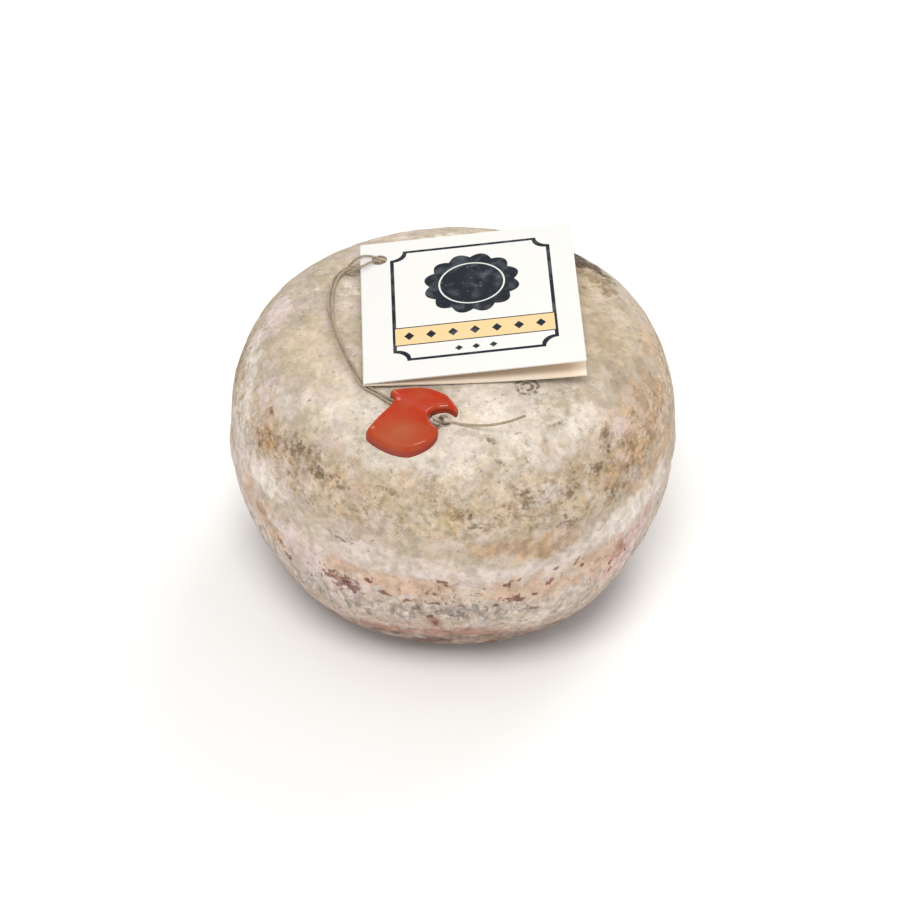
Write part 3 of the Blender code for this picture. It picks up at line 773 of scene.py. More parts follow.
# The last zone, base, is painted shade: the contact shadow where the rind curves under to the
# floor.
ZONES = [(0, "top"), (60, "top"), (66, "shoulder"), (77, "shoulder"), (83, "side"), (91, "side"),
         (94, "crest"), (96, "crest"), (99, "belly"), (112, "belly"), (120, "foot"), (125, "foot"),
         (130.5, "base"), (200, "base")]    # millimetres down, with the colour there
ZONE_RANGE = 200


def stain_fields(turns, downs):
    """For each kind of stain, how far each point of the rind is from the nearest one, where
    1 is its border."""
    fields = {}
    for kind, places in PATCHES.items():
        nearest = np.full(len(turns), FAR_AWAY)
        for at_turn, at_down, half_turn, half_down in places:
            across = np.angle(np.exp(1j * (turns - math.radians(at_turn))))
            across /= math.radians(half_turn)
            along = (downs - at_down * MM) / (half_down * MM)
            nearest = np.minimum(nearest, np.hypot(across, along))
        fields[kind] = nearest
    return fields


def make_rind(settings):
    """The rind's material: zones from top to foot, stains, blooms and specks of mould, and some
    painted light and shade.

    Sizes here are in millimetres.  Shares, strengths and softnesses go from 0 to 1."""
    material, tree, shader, place = new_material("rind", 0.85)
    down = tree.attribute("down")
    both = tree.times

    def cloud(size, detail=2.0, roughness=0.5):
        """Soft noise round nought, with waves of this size."""
        return tree.minus(tree.noise(place, size * MM, detail, roughness), 0.5)

    tall = tree.vector("MULTIPLY", place, (1.0, 1.0, 0.5))      # for stains that run down
    drift = cloud(20, 3.0)
    fray = cloud(4, 4.0, 0.65)
    nibble = cloud(1.7, 3.0)
    # The way down the rind, with a wandering and ragged border for each of its zones.
    way = tree.plus(down, tree.plus(tree.times(drift, 10 * MM), tree.times(fray, 11 * MM)))

    def zone(start, end, blend=3.0):
        """The band of rind this far down from the middle of the top."""
        rise = tree.step(way, (start - blend) * MM, (start + blend) * MM)
        fall = tree.step(way, (end - blend) * MM, (end + blend) * MM, 1.0, 0.0)
        return tree.times(rise, fall)

    def patches(kind, edge=fray, raggedness=3.0):
        """The places of this kind, with a frayed border."""
        away = tree.attribute(kind)
        return tree.step(tree.plus(away, tree.times(edge, raggedness)), 1.3, 0.5)

    def stains(size, share, seed, softness=0.08, roughness=0.5, where=place):
        """Ragged stains of this size over this share of the rind."""
        return tree.use("Stains", {"Vector": where, "Size": size * MM, "Share": share,
                                   "Softness": softness, "Roughness": roughness,
                                   "Seed": seed})

    colour = tree.ramp(tree.over(way, ZONE_RANGE * MM),
                       [(at / ZONE_RANGE, getattr(settings, name)) for at, name in ZONES])

    def stain(mask, strength, tint, mode="MIX"):
        """Tint the rind where the mask is."""
        nonlocal colour
        colour = tree.mix(tree.times(mask, strength), colour, tint, mode)

    top = tree.step(way, 60 * MM, 68 * MM, 1.0, 0.0)
    shoulder = zone(63, 82)
    rough = tree.math("MAXIMUM", shoulder, tree.step(way, 82 * MM, 104 * MM, 0.3, 0.7))

    # Broad blooms and stains at their places. The cream bloom over the front of the top is partly
    # the rind's colour and partly painted light, as the top is brighter at its front.
    stain(both(patches("bloom"), top), 0.95, settings.bloom)
    stain(patches("olive"), 0.4, settings.olive)
    stain(patches("orange"), 0.6, settings.orange)
    stain(patches("white"), 0.7, settings.crest)
    # Pale bloom, and painted light down the left side and at the right of the ridge.
    stain(patches("pale"), 0.72, settings.pale)
    stain(patches("lilac"), 0.75, settings.lilac)

    # Mottling over the whole rind, in soft changes of tint.
    stain(stains(11, 0.42, 3.1, 0.1, 0.7), 0.45, settings.lilac)
    stain(stains(9, 0.4, 11.7, 0.1, 0.7), 0.34, settings.olive)
    stain(stains(3.6, 0.38, 17.3, 0.1, 0.6), 0.3, settings.lilac)
    stain(stains(3.2, 0.38, 19.9, 0.1, 0.6), 0.32, settings.olive)
    stain(both(rough, stains(7, 0.36, 23.9, 0.08, 0.7)), 0.42, settings.orange)
    stain(both(rough, stains(6, 0.4, 31.3, 0.08, 0.7)), 0.6, settings.crest)
    stain(patches("tan"), 0.6, settings.shoulder)

    # Smooth peach patches under the ridge, where the bloom has been rubbed off, and a flush.
    peach = patches("peach", fray, 4.0)
    stain(peach, 0.85, settings.peach)
    stain(patches("blush", fray, 4.0), 0.45, settings.blush)

    # Brown crust in clusters, pale between its lumps.
    brown = patches("brown", fray, 4.5)
    stain(both(brown, stains(2.6, 0.54, 41.1, 0.14, 0.65)), 0.68, settings.brown)
    stain(both(brown, stains(1.5, 0.36, 43.3, 0.1, 0.6)), 0.7, settings.dark)
    stain(both(brown, stains(1.6, 0.34, 44.9, 0.1, 0.6)), 0.55, settings.crest)
    stain(both(both(shoulder, stains(9, 0.62, 47.0, 0.12)), stains(1.9, 0.45, 53.3, 0.1, 0.7)),
          0.5, settings.brown)

    # Mould and rose smears that run down near the foot, then smears, dark dabs and red spots, with
    # painted shadow among them: of the twine's free end, and under the knot.
    stain(both(patches("mould"), stains(2.2, 0.38, 57.3, 0.12, 0.6, tall)), 0.7, settings.pale)
    stain(both(patches("mould"), stains(2.0, 0.46, 59.1, 0.12, 0.6, tall)), 0.66,
          settings.mould)
    stain(both(patches("rose"), stains(2.6, 0.62, 61.7, 0.16, 0.7, tall)), 0.75, settings.rose)
    # Brown smears, and painted shadow of the twine's free end near the knot.
    stain(both(patches("smear"), stains(2.4, 0.66, 63.1, 0.2, 0.6)), 0.36, settings.brown)
    # Dark specks, and at two places painted shadow under the knot.
    stain(both(patches("dark", nibble, 4.5), stains(1.2, 0.62, 65.3, 0.16, 0.6)), 0.66,
          settings.dark)
    # Near-black patches: painted shadow at the knot's foot, and dark patches at the back right.
    stain(both(patches("burnt"), stains(1.8, 0.72, 66.1, 0.2, 0.7)), 0.85, settings.burnt)
    reds = tree.mix(tree.step(fray, -0.08, 0.12, 0.0, 0.45), settings.red, settings.rose)
    stain(both(patches("red", nibble, 4.5), stains(1.6, 0.85, 67.9, 0.3, 0.7)), 0.92, reds)

    # A faint stamp of two broken rings, half under the card.
    inner, outer = RING_RADII
    off = tree.vector("DISTANCE", place, (*RING_CENTRE, top_height(*RING_CENTRE)))
    for radius in ((inner + outer) / 2, (outer - inner) / 2):
        off = tree.math("ABSOLUTE", tree.minus(off, radius))
    stain(both(tree.step(off, *RING_LINE, 1.0, 0.0), stains(1.5, 0.56, 69.1, 0.1)),
          0.75, settings.dark)

    # Specks of mould and of dark crust.
    calm = tree.step(peach, 0.2, 0.8, 1.0, 0.25)
    stain(both(top, stains(1.9, 0.3, 71.3, 0.1, 0.6)), 0.3, settings.mould)
    stain(both(both(top, stains(9, 0.52, 73.3, 0.12)), stains(1.5, 0.34, 79.7, 0.06, 0.65)), 0.65,
          settings.mould)
    stain(both(shoulder, stains(1.5, 0.3, 83.1, 0.06, 0.65)), 0.6, settings.dark)
    stain(both(zone(80, 97), stains(2.0, 0.3, 97.3, 0.1, 0.6)), 0.25, settings.mould)
    stain(both(zone(80, 100), stains(1.3, 0.22, 101.9, 0.05, 0.6)), 0.6, settings.dark)
    low = both(calm, tree.step(way, 104 * MM, 110 * MM))
    stain(both(low, stains(2.0, 0.38, 103.1, 0.1, 0.6, tall)), 0.5, settings.mould)
    stain(both(zone(96, 112), stains(1.8, 0.26, 107.3, 0.06, 0.6, tall)), 0.85, settings.red)
    stain(both(zone(98, 126), stains(1.4, 0.28, 109.1, 0.06, 0.6, tall)), 0.7, settings.red)

    # Wrinkles along the shoulder, most of them at the right.
    winding = tree.plus(down, tree.times(cloud(9, 3.0), 9 * MM))
    folds = tree.math("ABSOLUTE", tree.math("SINE", tree.over(winding, 1.1 * MM)))
    wrinkled = both(patches("wrinkled"), stains(6, 0.55, 111.7, 0.12))
    wrinkle = both(wrinkled, tree.step(folds, 0.0, 0.6, 1.0, 0.0))
    stain(wrinkle, 0.38, settings.brown)

    # Painted light and shade that follow the crust's relief: darker in its pits and creases,
    # lighter on its high points.
    crust = cloud(7, 6.0, 0.72)
    lumps = cloud(2.4, 2.0)
    crease = both(tree.step(tree.math("ABSOLUTE", cloud(3.4, 3.0)), 0.0, 0.09, 1.0, 0.0),
                  both(rough, stains(8, 0.5, 113.0, 0.12)))
    depth = tree.times(lumps, tree.step(way, 60 * MM, 68 * MM, 0.35, 0.8))
    relief_shading = tree.plus(crust, depth)
    colour = tree.mix(1.0, colour, tree.step(relief_shading, -0.22, 0.22, 0.8, 1.14), "MULTIPLY")
    stain(crease, 0.35, CREASE_SHADE, "MULTIPLY")
    tree.feed(shader["Base Color"], colour)

    height = tree.plus(tree.times(crust, 1.5), tree.times(lumps, 0.9))
    height = tree.minus(height, tree.times(tree.plus(crease, wrinkle), 0.25))
    bump(tree, shader, height, 0.5 * MM, 0.9)
    return material


# ---- The card ------------------------------------------------------------------------
def card_point(along, across, depth):
    """A point of the folded card.  Along runs from the lower leaf's free edge round the spine
    to the upper leaf's, across from the front edge to the back, depth in from its outside."""
    if along < LEAF_WIDTH:
        out = TAG_WIDTH - along
        up = LOWER_LEAF_CURL * (out / TAG_WIDTH) ** LOWER_LEAF_CURL_POWER + depth
    elif along < LEAF_WIDTH + SPINE_BEND:
        turn = -math.pi / 2 - (along - LEAF_WIDTH) / SPINE_RADIUS
        reach = SPINE_RADIUS - depth
        out = SPINE_RADIUS + reach * math.cos(turn)
        up = SPINE_RADIUS + reach * math.sin(turn)
    else:
        out = SPINE_RADIUS + (along - LEAF_WIDTH - SPINE_BEND) * math.cos(LEAF_OPENING)
        up = 2 * SPINE_RADIUS + (out - SPINE_RADIUS) * math.tan(LEAF_OPENING) - depth
    out *= 1 + TAG_FLARE * across / TAG_LENGTH
    local = Vector((out - TAG_WIDTH / 2, across - TAG_LENGTH / 2, up))
    return TAG_TURN.to_matrix() @ local + TAG_PLACE


def circle(centre, radius, count):
    """A round outline of count points."""
    turns = (2 * math.pi * k / count for k in range(count))
    return [Vector((centre[0] + radius * math.cos(turn), centre[1] + radius * math.sin(turn)))
            for turn in turns]


def scooped_frame(low, high, scoop, steps=8):
    """A rectangle with its corners scooped out in quarter circles."""
    corners = [((low[0], low[1]), 90), ((high[0], low[1]), 180),
               ((high[0], high[1]), 270), ((low[0], high[1]), 0)]
    outline = []
    for (x, y), start in corners:
        for step in range(steps + 1):
            angle = math.radians(start - 90 * step / steps)
            outline.append(Vector((x + scoop * math.cos(angle), y + scoop * math.sin(angle))))
    return outline


def rosette(centre, radius, scallops, bulge, steps=9):
    """A round plaque with a scalloped border."""
    outline = []
    count = scallops * steps
    for k in range(count):
        angle = 2 * math.pi * k / count
        reach = radius + bulge * abs(math.sin(scallops * angle / 2))
        outline.append(Vector((centre[0] + reach * math.cos(angle),
                               centre[1] + reach * math.sin(angle))))
    return outline


def diamond(centre, width, height):
    """A square on its corner."""
    x, y = centre
    return [Vector(spot) for spot in ((x - width / 2, y), (x, y - height / 2),
                                      (x + width / 2, y), (x, y + height / 2))]


def bar(low, high):
    """A rectangle."""
    return [Vector(spot) for spot in ((low[0], low[1]), (high[0], low[1]),
                                      (high[0], high[1]), (low[0], high[1]))]


BARE, INK, BAND, INSIDE = range(4)      # the places of the card's materials in its mesh
CARD_CELLS = 16                         # faces across a leaf, and from front to back
SPINE_CELLS = 10

# The generic print, in millimetres from the spine and from the front edge.
PRINT_MIDDLE = 33.0
FRAME_LOW = (9.0, 8.0)
FRAME_HIGH = (57.0, 60.5)
FRAME_LINE = 1.1
FRAME_SCOOP = 4.0
PLAQUE_FROM_FRONT = 41.5
PLAQUE_RADIUS = 12.6
PLAQUE_SCALLOPS = 12
PLAQUE_BULGE = 1.8
PLAQUE_RING = (9.9, 9.4)                # outer and inner radius of the bare ring in it
BAND_LOW = (9.75, 15.0)
BAND_HIGH = (56.25, 23.5)
BAND_LINE = 0.45
# Rows of diamonds: how many, how far apart and from the front, how wide and how high.
DIAMOND_ROWS = [(7, 6.4, 19.25, 3.0, 3.6), (3, 5.0, 11.6, 2.4, 2.4)]


def printed_shapes():
    """Each outline of the print with what it prints inside, the later over the earlier."""
    shapes = []
    for inset, ink in ((0.0, INK), (FRAME_LINE, BARE)):
        shapes.append((scooped_frame([side + inset for side in FRAME_LOW],
                                     [side - inset for side in FRAME_HIGH], FRAME_SCOOP), ink))
    plaque = (PRINT_MIDDLE, PLAQUE_FROM_FRONT)
    shapes.append((rosette(plaque, PLAQUE_RADIUS, PLAQUE_SCALLOPS, PLAQUE_BULGE), INK))
    for radius, ink in zip(PLAQUE_RING, (BARE, INK)):
        shapes.append((circle(plaque, radius, 48), ink))
    for inset, ink in ((0.0, INK), (BAND_LINE, BAND)):
        shapes.append((bar((BAND_LOW[0], BAND_LOW[1] + inset),
                           (BAND_HIGH[0], BAND_HIGH[1] - inset)), ink))
    for count, apart, from_front, width, height in DIAMOND_ROWS:
        for k in range(count):
            middle = (PRINT_MIDDLE + apart * (k - count // 2), from_front)
            shapes.append((diamond(middle, width, height), INK))
    return shapes


def tag_mesh():
    """The folded card, one sheet of true thickness, with its print cut into its surface."""
    bent = LEAF_WIDTH + SPINE_BEND
    whole = 2 * LEAF_WIDTH + SPINE_BEND
    spine = bent - SPINE_RADIUS         # where the upper leaf's distances start

    def rows(start, end, count):
        return [start + (end - start) * k / count for k in range(count + 1)]

    stops = (rows(0.0, LEAF_WIDTH, CARD_CELLS) + rows(LEAF_WIDTH, bent, SPINE_CELLS)[1:]
             + rows(bent, whole, CARD_CELLS)[1:])
    lines = rows(0.0, TAG_LENGTH, CARD_CELLS)
    border = ([Vector((x, 0.0)) for x in stops[:-1]] + [Vector((whole, y)) for y in lines[:-1]]
              + [Vector((x, TAG_LENGTH)) for x in reversed(stops[1:])]
              + [Vector((0.0, y)) for y in reversed(lines[1:])])
    holes = [circle((x, HOLE_FROM_FRONT), HOLE_RADIUS, 40)
             for x in (spine + HOLE_FROM_SPINE, TAG_WIDTH - HOLE_FROM_SPINE)]
    prints = [([Vector((spine + spot.x * MM, spot.y * MM)) for spot in outline], ink)
              for outline, ink in printed_shapes()]
    points, edges = [], []
    for loop in [border] + holes + [outline for outline, _ in prints]:
        first = len(points)
        points += loop
        edges += [(first + k, first + (k + 1) % len(loop)) for k in range(len(loop))]
    points += [Vector((x, y)) for x in stops[1:-1] for y in lines[1:-1]]
    spots, _, triangles, *_ = delaunay_2d_cdt(points, edges, [], 1, SAME_POINT)

    faces, slots, kept = [], [], []
    count = len(spots)
    for triangle in triangles:
        middle = sum((spots[k] for k in triangle), Vector((0.0, 0.0))) / 3
        if any(is_inside(middle, hole) for hole in holes):
            continue
        ink = BARE
        for outline, printed in prints:
            if is_inside(middle, outline):
                ink = printed
        kept.append(tuple(triangle))
        faces.append(tuple(triangle[::-1]))
        slots.append(ink)
        faces.append(tuple(k + count for k in triangle))
        slots.append(INSIDE)
    sides = {(a, b) for t in kept for a, b in zip(t, t[1:] + t[:1])}
    for a, b in sides:
        if (b, a) not in sides:
            faces.append((a, b, b + count, a + count))
            slots.append(INSIDE if spots[a].x < LEAF_WIDTH else BARE)
    places = [card_point(spot.x, spot.y, depth) for depth in (0.0, CARD_THICKNESS)
              for spot in spots]
    mesh = mesh_from_faces("tag", places, faces, smooth=False)
    mesh.polygons.foreach_set("material_index", slots)
    tidy = bmesh.new()
    tidy.from_mesh(mesh)
    bmesh.ops.delete(tidy, geom=[v for v in tidy.verts if not v.link_faces], context="VERTS")
    bmesh.ops.recalc_face_normals(tidy, faces=tidy.faces)
    tidy.to_mesh(mesh)
    tidy.free()
    mesh.update()
    return mesh


def paper_grain(tree, shader, place, depth, strength):
    """The fine unevenness of the card, bare or printed."""
    height = tree.use("Grain", {"Vector": place, "Size": 0.25 * MM, "Coarse": 0.4}, "Height")
    bump(tree, shader, height, depth, strength)


def make_card(name, colour, warmth):
    """Bare card in soft clouds of a warmer tint, with a few darker fibres."""
    material, tree, shader, place = new_material(name, 0.62)
    fibres = tree.noise(place, 0.6 * MM, detail=4.0, roughness=0.6)
    cloud = tree.noise(place, 18 * MM, detail=2.0)
    tint = tree.mix(tree.step(cloud, 0.4, 0.65, 0.0, warmth), colour, WARM_CARD)
    tree.feed(shader["Base Color"], tree.mix(tree.step(fibres, 0.5, 0.75, 0.0, 0.05), tint,
                                             CARD_FIBRE))
    paper_grain(tree, shader, place, 0.03 * MM, 0.6)
    return material


def make_ink(name, colour, fade):
    """Ink that lets the card through in small flecks and in worn places."""
    material, tree, shader, place = new_material(name, 0.6, specular=0.2)
    flecks = tree.use("Spots", {"Vector": place, "Spacing": 1.3 * MM, "Share": 0.35,
                                "Spot Size": 0.16, "Softness": 0.1})
    worn = tree.step(tree.noise(place, 4 * MM, detail=4.0), 0.45, 0.7)
    share = tree.math("ADD", tree.times(flecks, fade), tree.times(worn, fade * 0.6), clamp=True)
    tree.feed(shader["Base Color"], tree.mix(share, colour, WORN_INK))
    paper_grain(tree, shader, place, 0.02 * MM, 0.5)
    return material


# ---- The seal ------------------------------------------------------------------------
def seal_surface(edge, spot, thickness, rim):
    """Height of the wax over the cheese at a spot inside its outline."""
    near = distance_to(edge, spot)
    short = rim - min(near, rim)
    lift = thickness - rim + math.sqrt(max(rim**2 - short**2, 0.0))
    start = Vector(SEAL_OUTLINE[0]) * MM
    along = (Vector(SEAL_OUTLINE[SEAL_CLEFT]) * MM - start).normalized()
    ridge = SEAL_RIDGE * hump((spot - start).cross(along), SEAL_RIDGE_WIDTH)
    bead = SEAL_BEAD * hump(near - SEAL_BEAD_INSET, SEAL_BEAD_WIDTH)
    folds = SEAL_FOLDS * (math.sin(spot.x / (2.1 * MM) + 0.5 * math.sin(spot.y / (1.7 * MM)))
                          + math.sin((spot.x + 2 * spot.y) / (3.3 * MM)))
    return lift + (1 - short / rim) * (ridge + bead + folds)


NET_ROW = 0.87                          # of its points' distance, between a net's rows
OUTLINE_STEPS = 6                       # from each corner of the seal to the next
WALL_ROWS = 5


def seal_mesh(thickness, rim, grid):
    """The wax as a close net of faces draped over the cheese, with rounded edges."""
    corners = [Vector(corner) * MM for corner in SEAL_OUTLINE]
    edge = [catmull_rom(corners, True, step / OUTLINE_STEPS, index)
            for index in range(len(corners)) for step in range(OUTLINE_STEPS)]
    count = len(edge)
    points, faces = [], []

    def place(spot, lift):
        points.append((spot.x, spot.y, top_height(spot.x, spot.y) + lift))
        return len(points) - 1

    wall = thickness - rim
    rings = [[place(spot, SEAL_FOOT + (wall - SEAL_FOOT) * row / WALL_ROWS) for spot in edge]
             for row in range(WALL_ROWS + 1)]
    for lower, upper in zip(rings, rings[1:]):
        for k in range(count):
            ahead = (k + 1) % count
            faces.append((lower[k], lower[ahead], upper[ahead], upper[k]))
    borders = [(k, (k + 1) % count) for k in range(count)]
    lowest = Vector((min(p.x for p in edge), min(p.y for p in edge)))
    highest = Vector((max(p.x for p in edge), max(p.y for p in edge)))
    inside = []
    for column in range(int((highest.x - lowest.x) / grid) + 1):
        for row in range(int((highest.y - lowest.y) / (grid * NET_ROW)) + 1):
            spot = lowest + Vector(((column + 0.5 * (row % 2)) * grid, row * grid * NET_ROW))
            if is_inside(spot, edge) and distance_to(edge, spot) > 0.35 * grid:
                inside.append(spot)
    for ring, extra, is_top in ((rings[-1], inside, True), (rings[0], [], False)):
        spots, _, triangles, sources, *_ = delaunay_2d_cdt(edge + extra, borders, [], 1,
                                                           SAME_POINT)
        numbers = []
        for spot, source in zip(spots, sources):
            if source[0] < count:
                numbers.append(ring[source[0]])
            else:
                numbers.append(place(spot, seal_surface(edge, spot, thickness, rim)))
        for triangle in triangles:
            face = tuple(numbers[k] for k in triangle)
            faces.append(face if is_top else face[::-1])
    mesh = mesh_from_faces("seal", points, faces)
    on_wall = [1.0 if k < count * len(rings) else 0.0 for k in range(len(points))]
    mesh.attributes.new("wall", "FLOAT", "POINT").data.foreach_set("value", on_wall)
    return mesh


def make_wax(settings):
    """Glossy wax with a painted sheen on its front lobe, and painted shade that darkens its walls,
    most of all in the cleft.
    """
    material, tree, shader, place = new_material("wax", 0.3, specular=0.42)
    cloud = tree.noise(place, 6 * MM, detail=3.0)
    colour = tree.mix(tree.step(cloud, 0.42, 0.62, 0.0, 0.5), settings.wax, settings.cloud)

    def near(spot, close, far, strength):
        """How near the surface is to this spot of the seal."""
        off = tree.vector("DISTANCE", place, (*spot, top_height(*spot)))
        return tree.step(off, close * MM, far * MM, strength, 0.0)

    # Painted reflection: a tan sheen on the front lobe.
    lobe_sheen = tree.times(near(SEAL_LOBE, 2, 9, 0.7), tree.step(cloud, 0.3, 0.6, 0.5, 1.0))
    colour = tree.mix(lobe_sheen, colour, settings.lobe)
    dust = tree.use("Stains", {"Vector": place, "Size": 2.2 * MM, "Share": 0.25,
                               "Softness": 0.12})
    colour = tree.mix(tree.times(dust, 0.12), colour, settings.dust)
    # Painted shade down the side walls, darkest inside the cleft.
    wall = tree.attribute("wall")
    colour = tree.mix(tree.times(wall, 0.55), colour, settings.wall)
    cleft = [length * MM for length in SEAL_OUTLINE[SEAL_CLEFT]]
    colour = tree.mix(tree.times(wall, near(cleft, 1.5, 4.5, 0.8)), colour, settings.hollow)
    tree.feed(shader["Base Color"], colour)
    tree.feed(shader["Roughness"], tree.step(cloud, 0.4, 0.65, 0.1, 0.2))
    height = tree.use("Grain", {"Vector": place, "Size": 1.6 * MM, "Coarse": 1.5}, "Height")
    bump(tree, shader, height, 0.12 * MM, 0.3)
    return material


# ---- The twine -----------------------------------------------------------------------
def over_cheese(point):
    """A point of the twine's route in metres, from its height over the cheese."""
    x, y, rise = (length * MM for length in point)
    return Vector((x, y, top_height(x, y) + rise))


def knot_points():
    """An overhand knot: three lobes laid over and under each other, open at the front."""
    centre = Vector((KNOT_CENTRE[0] * MM, KNOT_CENTRE[1] * MM))
    ground = top_height(centre.x, centre.y)
    spots = []
    for step in range(KNOT_STEPS + 1):
        turn = math.pi + KNOT_OPENING + (2 * math.pi - 2 * KNOT_OPENING) * step / KNOT_STEPS
        across = math.sin(turn) + 2 * math.sin(2 * turn)
        along = math.cos(turn) - 2 * math.cos(2 * turn)
        spots.append(Vector((centre.x + KNOT_SCALE * MM * across,
                             centre.y + KNOT_SCALE * MM * along,
                             ground + KNOT_LIFT * MM - KNOT_DEPTH * MM * math.sin(3 * turn))))
    if spots[0].x > spots[-1].x:
        spots.reverse()
    return spots


def twine_path(spacing):
    """Evenly spaced points along the whole twine, from inside the wax to its free end."""
    legs = [over_cheese(point) for point in [SUNK_START] + TWINE_ROUTE + SUNK_ROUTE]
    knots = legs + knot_points() + [over_cheese(point) for point in FREE_END_ROUTE]
    dense = [catmull_rom(knots, False, step / ROUTE_STEPS, index)
             for index in range(len(knots) - 1) for step in range(ROUTE_STEPS)] + [knots[-1]]
    travelled = [0.0]
    for before, after in zip(dense, dense[1:]):
        travelled.append(travelled[-1] + (after - before).length)
    count = round(travelled[-1] / spacing)
    path, index = [], 0
    for step in range(count + 1):
        goal = travelled[-1] * step / count
        while index < len(dense) - 2 and travelled[index + 1] < goal:
            index += 1
        gap = travelled[index + 1] - travelled[index]
        path.append(dense[index].lerp(dense[index + 1], (goal - travelled[index]) / gap))
    return path, travelled[-1]


def twisted_plies_tree(plies):
    """Geometry nodes that lay up plies round a curve and give them thickness."""
    tree, entry, leave = new_geometry_tree("Twisted Plies",
                                           ("Diameter", "Lay", "Spacing", "Seed"))
    curve = tree.add("GeometryNodeResampleCurve",
                     {"Curve": entry["Geometry"], "Length": entry["Spacing"]},
                     mode="LENGTH").outputs[0]
    normal = tree.add("GeometryNodeInputNormal").outputs[0]
    tangent = tree.add("GeometryNodeInputTangent").outputs[0]
    beside = tree.vector("CROSS_PRODUCT", tangent, normal)
    along = tree.add("GeometryNodeSplineParameter").outputs["Length"]
    place = tree.add("GeometryNodeInputPosition").outputs[0]
    turn = tree.times(tree.over(along, entry["Lay"]), 2 * math.pi)
    joined = tree.add("GeometryNodeJoinGeometry")
    section = tree.add("GeometryNodeCurvePrimitiveCircle", {
        "Resolution": PLY_SIDES,
        "Radius": tree.times(entry["Diameter"], PLY_RADIUS)}).outputs[0]
    for ply in range(plies):
        angle = tree.plus(turn, 2 * math.pi * ply / plies)
        uneven = tree.add("ShaderNodeTexNoise",
                          {"Vector": place, "W": tree.plus(entry["Seed"], float(ply)),
                           "Scale": 900.0, "Detail": 1.0}, noise_dimensions="4D").outputs[0]
        reach = tree.times(entry["Diameter"], tree.step(uneven, 0.3, 0.7, *PLY_REACH))
        offset = tree.vector(
            "ADD", tree.scale(normal, tree.times(reach, tree.math("COSINE", angle))),
            tree.scale(beside, tree.times(reach, tree.math("SINE", angle))))
        moved = tree.add("GeometryNodeSetPosition", {"Geometry": curve, "Offset": offset})
        tube = tree.add("GeometryNodeCurveToMesh",
                        {"Curve": moved.outputs[0], "Profile Curve": section,
                         "Fill Caps": True})
        tree.feed(joined.inputs[0], tube.outputs[0])
    smooth = tree.add("GeometryNodeSetShadeSmooth", {"Geometry": joined.outputs[0]})
    return end_geometry_tree(tree, entry, leave, smooth.outputs[0])


def make_twine(settings):
    """Dull fibre, pale where the knot loosens it and dark in the knot's middle."""
    material, tree, shader, place = new_material("twine", 0.85, sheen=0.25)
    fibres = tree.noise(place, 0.35 * MM, detail=4.0, roughness=0.7)
    broad = tree.noise(place, 5 * MM, detail=2.0)
    colour = tree.mix(tree.step(fibres, 0.38, 0.66), settings.twine, settings.pale)
    colour = tree.mix(tree.step(broad, 0.45, 0.65, 0.0, 0.35), colour, settings.dark)
    off = tree.vector("DISTANCE", place, over_cheese((*KNOT_CENTRE, KNOT_LIFT)))
    colour = tree.mix(tree.step(off, 2.2 * MM, 4 * MM, 0.45, 0.0), colour, settings.knot)
    # Painted shade in the hollow middle of the knot.
    colour = tree.mix(tree.step(off, 0.8 * MM, 1.7 * MM, 0.85, 0.0), colour, settings.core)
    tree.feed(shader["Base Color"], colour)
    height = tree.use("Grain", {"Vector": place, "Size": 0.12 * MM, "Coarse": 0.8}, "Height")
    bump(tree, shader, height, 0.05 * MM, 0.8)
    return material


# ---- Operators -----------------------------------------------------------------------
def aim_at(thing, place, aim):
    """Put a camera or a light at place, looking at aim."""
    thing.location = place
    thing.rotation_euler = (aim - place).to_track_quat("-Z", "Y").to_euler()


class PECORINO_OT_camera(Operator):
    """Set the camera at the photograph's viewing angle"""
    bl_idname = "pecorino.camera"
    bl_label = "Place Camera"

    def execute(self, context):
        data = bpy.data.cameras.new("camera")
        data.sensor_width = 36.0
        data.lens = CAMERA_LENS
        data.clip_start = 0.02
        camera = bpy.data.objects.new("camera", data)
        context.scene.collection.objects.link(camera)
        aim_at(camera, CAMERA_PLACE, CAMERA_AIM)
        context.scene.camera = camera
        return {"FINISHED"}


class PECORINO_OT_twine(Operator):
    """Lay the twine from the wax to the card and back, knotted at the seal"""
    bl_idname = "pecorino.twine"
    bl_label = "Lay Twine"

    def execute(self, context):
        settings = context.scene.pecorino.twine
        path, length = twine_path(TWINE_SPACING)
        line = bpy.data.curves.new("twine path", "CURVE")
        line.dimensions = "3D"
        spline = line.splines.new("POLY")
        spline.points.add(len(path) - 1)
        for point, spot in zip(spline.points, path):
            point.co = (*spot, 1.0)
        material = make_twine(settings)
        mesh = run_geometry_tree("twine", line, twisted_plies_tree(settings.plies), {
            "Diameter": settings.diameter, "Lay": settings.lay, "Spacing": TWINE_SPACING,
            "Seed": 3.0, "Material": material})
        piece = add_piece("twine", mesh, [material],
                          ["string_legs", "string_knot", "string_end"])
        return {"FINISHED"}


class PECORINO_OT_wheel(Operator):
    """Build the wheel of cheese with its rind"""
    bl_idname = "pecorino.wheel"
    bl_label = "Build Wheel"

    def execute(self, context):
        settings = context.scene.pecorino.wheel
        material = make_rind(settings)
        mesh = run_geometry_tree(
            "wheel", wheel_mesh(settings.columns, settings.rows), rind_relief_tree(), {
                "Lump Size": settings.lump_size, "Lump Height": settings.lump_height,
                "Pit Size": settings.pit_size, "Pit Depth": settings.pit_depth,
                "Seed": 1.0, "Material": material})
        add_piece("wheel", mesh, [material], ["cheese_wheel"])
        return {"FINISHED"}


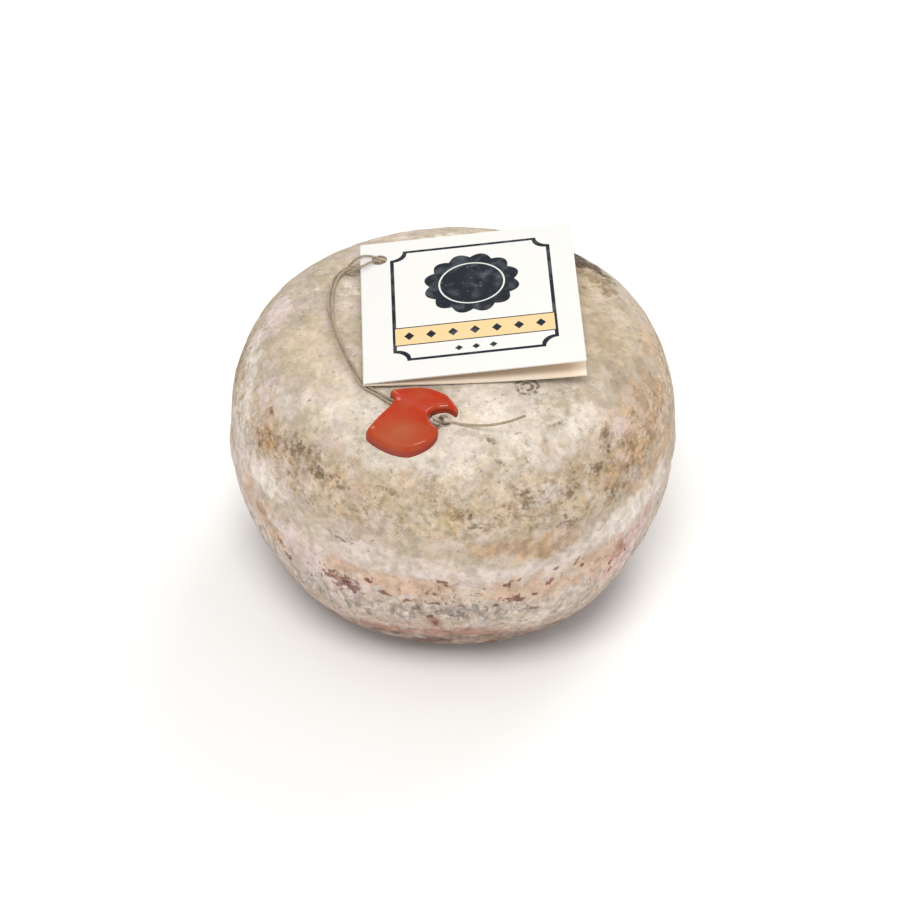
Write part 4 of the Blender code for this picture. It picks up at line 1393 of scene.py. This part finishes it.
class PECORINO_OT_tag(Operator):
    """Fold the card tag with its generic print"""
    bl_idname = "pecorino.tag"
    bl_label = "Fold Tag"

    def execute(self, context):
        settings = context.scene.pecorino.tag
        materials = [make_card("card outside", settings.card, 0.1),
                     make_ink("dark ink", settings.ink, 0.18),
                     make_ink("yellow ink", settings.band, 0.05),
                     # The inside's lighter cream is partly painted light in the shaded fold.
                     make_card("card inside", settings.inside, 0.4)]
        add_piece("folded_tag", tag_mesh(), materials, ["tag"])
        return {"FINISHED"}


class PECORINO_OT_seal(Operator):
    """Pour the wax seal over the twine"""
    bl_idname = "pecorino.seal"
    bl_label = "Pour Seal"

    def execute(self, context):
        settings = context.scene.pecorino.seal
        mesh = seal_mesh(settings.thickness, settings.rim, settings.grid)
        add_piece("wax_seal", mesh, [make_wax(settings)], ["seal"])
        return {"FINISHED"}


def add_light(name, power, size, place):
    """A soft round white light over the cheese."""
    data = bpy.data.lights.new(name, "AREA")
    data.shape = "DISK"
    data.energy = power
    data.size = size
    light = bpy.data.objects.new(name, data)
    bpy.context.scene.collection.objects.link(light)
    aim_at(light, Vector(place), Vector(LIGHT_AIM))


class PECORINO_OT_stage(Operator):
    """Lay the plain pale floor and hang the soft studio lights"""
    bl_idname = "pecorino.stage"
    bl_label = "Set Stage"

    def execute(self, context):
        settings = context.scene.pecorino.stage
        far = FLOOR_REACH
        mesh = mesh_from_faces("floor", [(-far, -far, 0), (far, -far, 0), (far, far, 0),
                                         (-far, far, 0)], [(0, 1, 2, 3)], smooth=False)
        material, _, shader, _ = new_material("floor", 0.9)
        shader["Base Color"].default_value = as_colour(settings.floor)
        mesh.materials.append(material)
        floor = bpy.data.objects.new("floor", mesh)
        context.scene.collection.objects.link(floor)
        add_light("key", settings.key, KEY_SIZE, KEY_PLACE)
        add_light("fill", settings.fill, FILL_SIZE, FILL_PLACE)
        world = bpy.data.worlds.new("studio")
        world.use_nodes = True
        background = world.node_tree.nodes["Background"].inputs
        background["Color"].default_value = (1.0, 1.0, 1.0, 1.0)
        background["Strength"].default_value = settings.sky
        context.scene.world = world
        context.scene.view_settings.view_transform = "Standard"
        return {"FINISHED"}


class PECORINO_PT_panel(Panel):
    """Sidebar panel with every step in order"""
    bl_idname = "PECORINO_PT_panel"
    bl_label = "Truffle Pecorino"
    bl_space_type = "VIEW_3D"
    bl_region_type = "UI"
    bl_category = "Pecorino"

    def draw(self, context):
        layout = self.layout
        settings = context.scene.pecorino
        for operator, group in STEPS:
            box = layout.box()
            box.operator(operator.bl_idname)
            if group:
                values = getattr(settings, group)
                for name in values.__annotations__:
                    box.prop(values, name)


STEPS = [(PECORINO_OT_camera, None), (PECORINO_OT_twine, "twine"), (PECORINO_OT_wheel, "wheel"),
         (PECORINO_OT_tag, "tag"), (PECORINO_OT_seal, "seal"), (PECORINO_OT_stage, "stage")]
CLASSES = [WheelSettings, TagSettings, SealSettings, TwineSettings, StageSettings,
           PecorinoSettings, *(operator for operator, _ in STEPS), PECORINO_PT_panel]


def register():
    for cls in CLASSES:
        bpy.utils.register_class(cls)
    bpy.types.Scene.pecorino = PointerProperty(type=PecorinoSettings)


def unregister():
    del bpy.types.Scene.pecorino
    for cls in reversed(CLASSES):
        bpy.utils.unregister_class(cls)


def main():
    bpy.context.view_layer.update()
    register()
    make_shared_groups()
    bpy.ops.pecorino.camera()
    bpy.ops.pecorino.twine()
    bpy.ops.pecorino.wheel()
    bpy.ops.pecorino.tag()
    bpy.ops.pecorino.seal()
    bpy.ops.pecorino.stage()


if __name__ == "__main__":
    main()
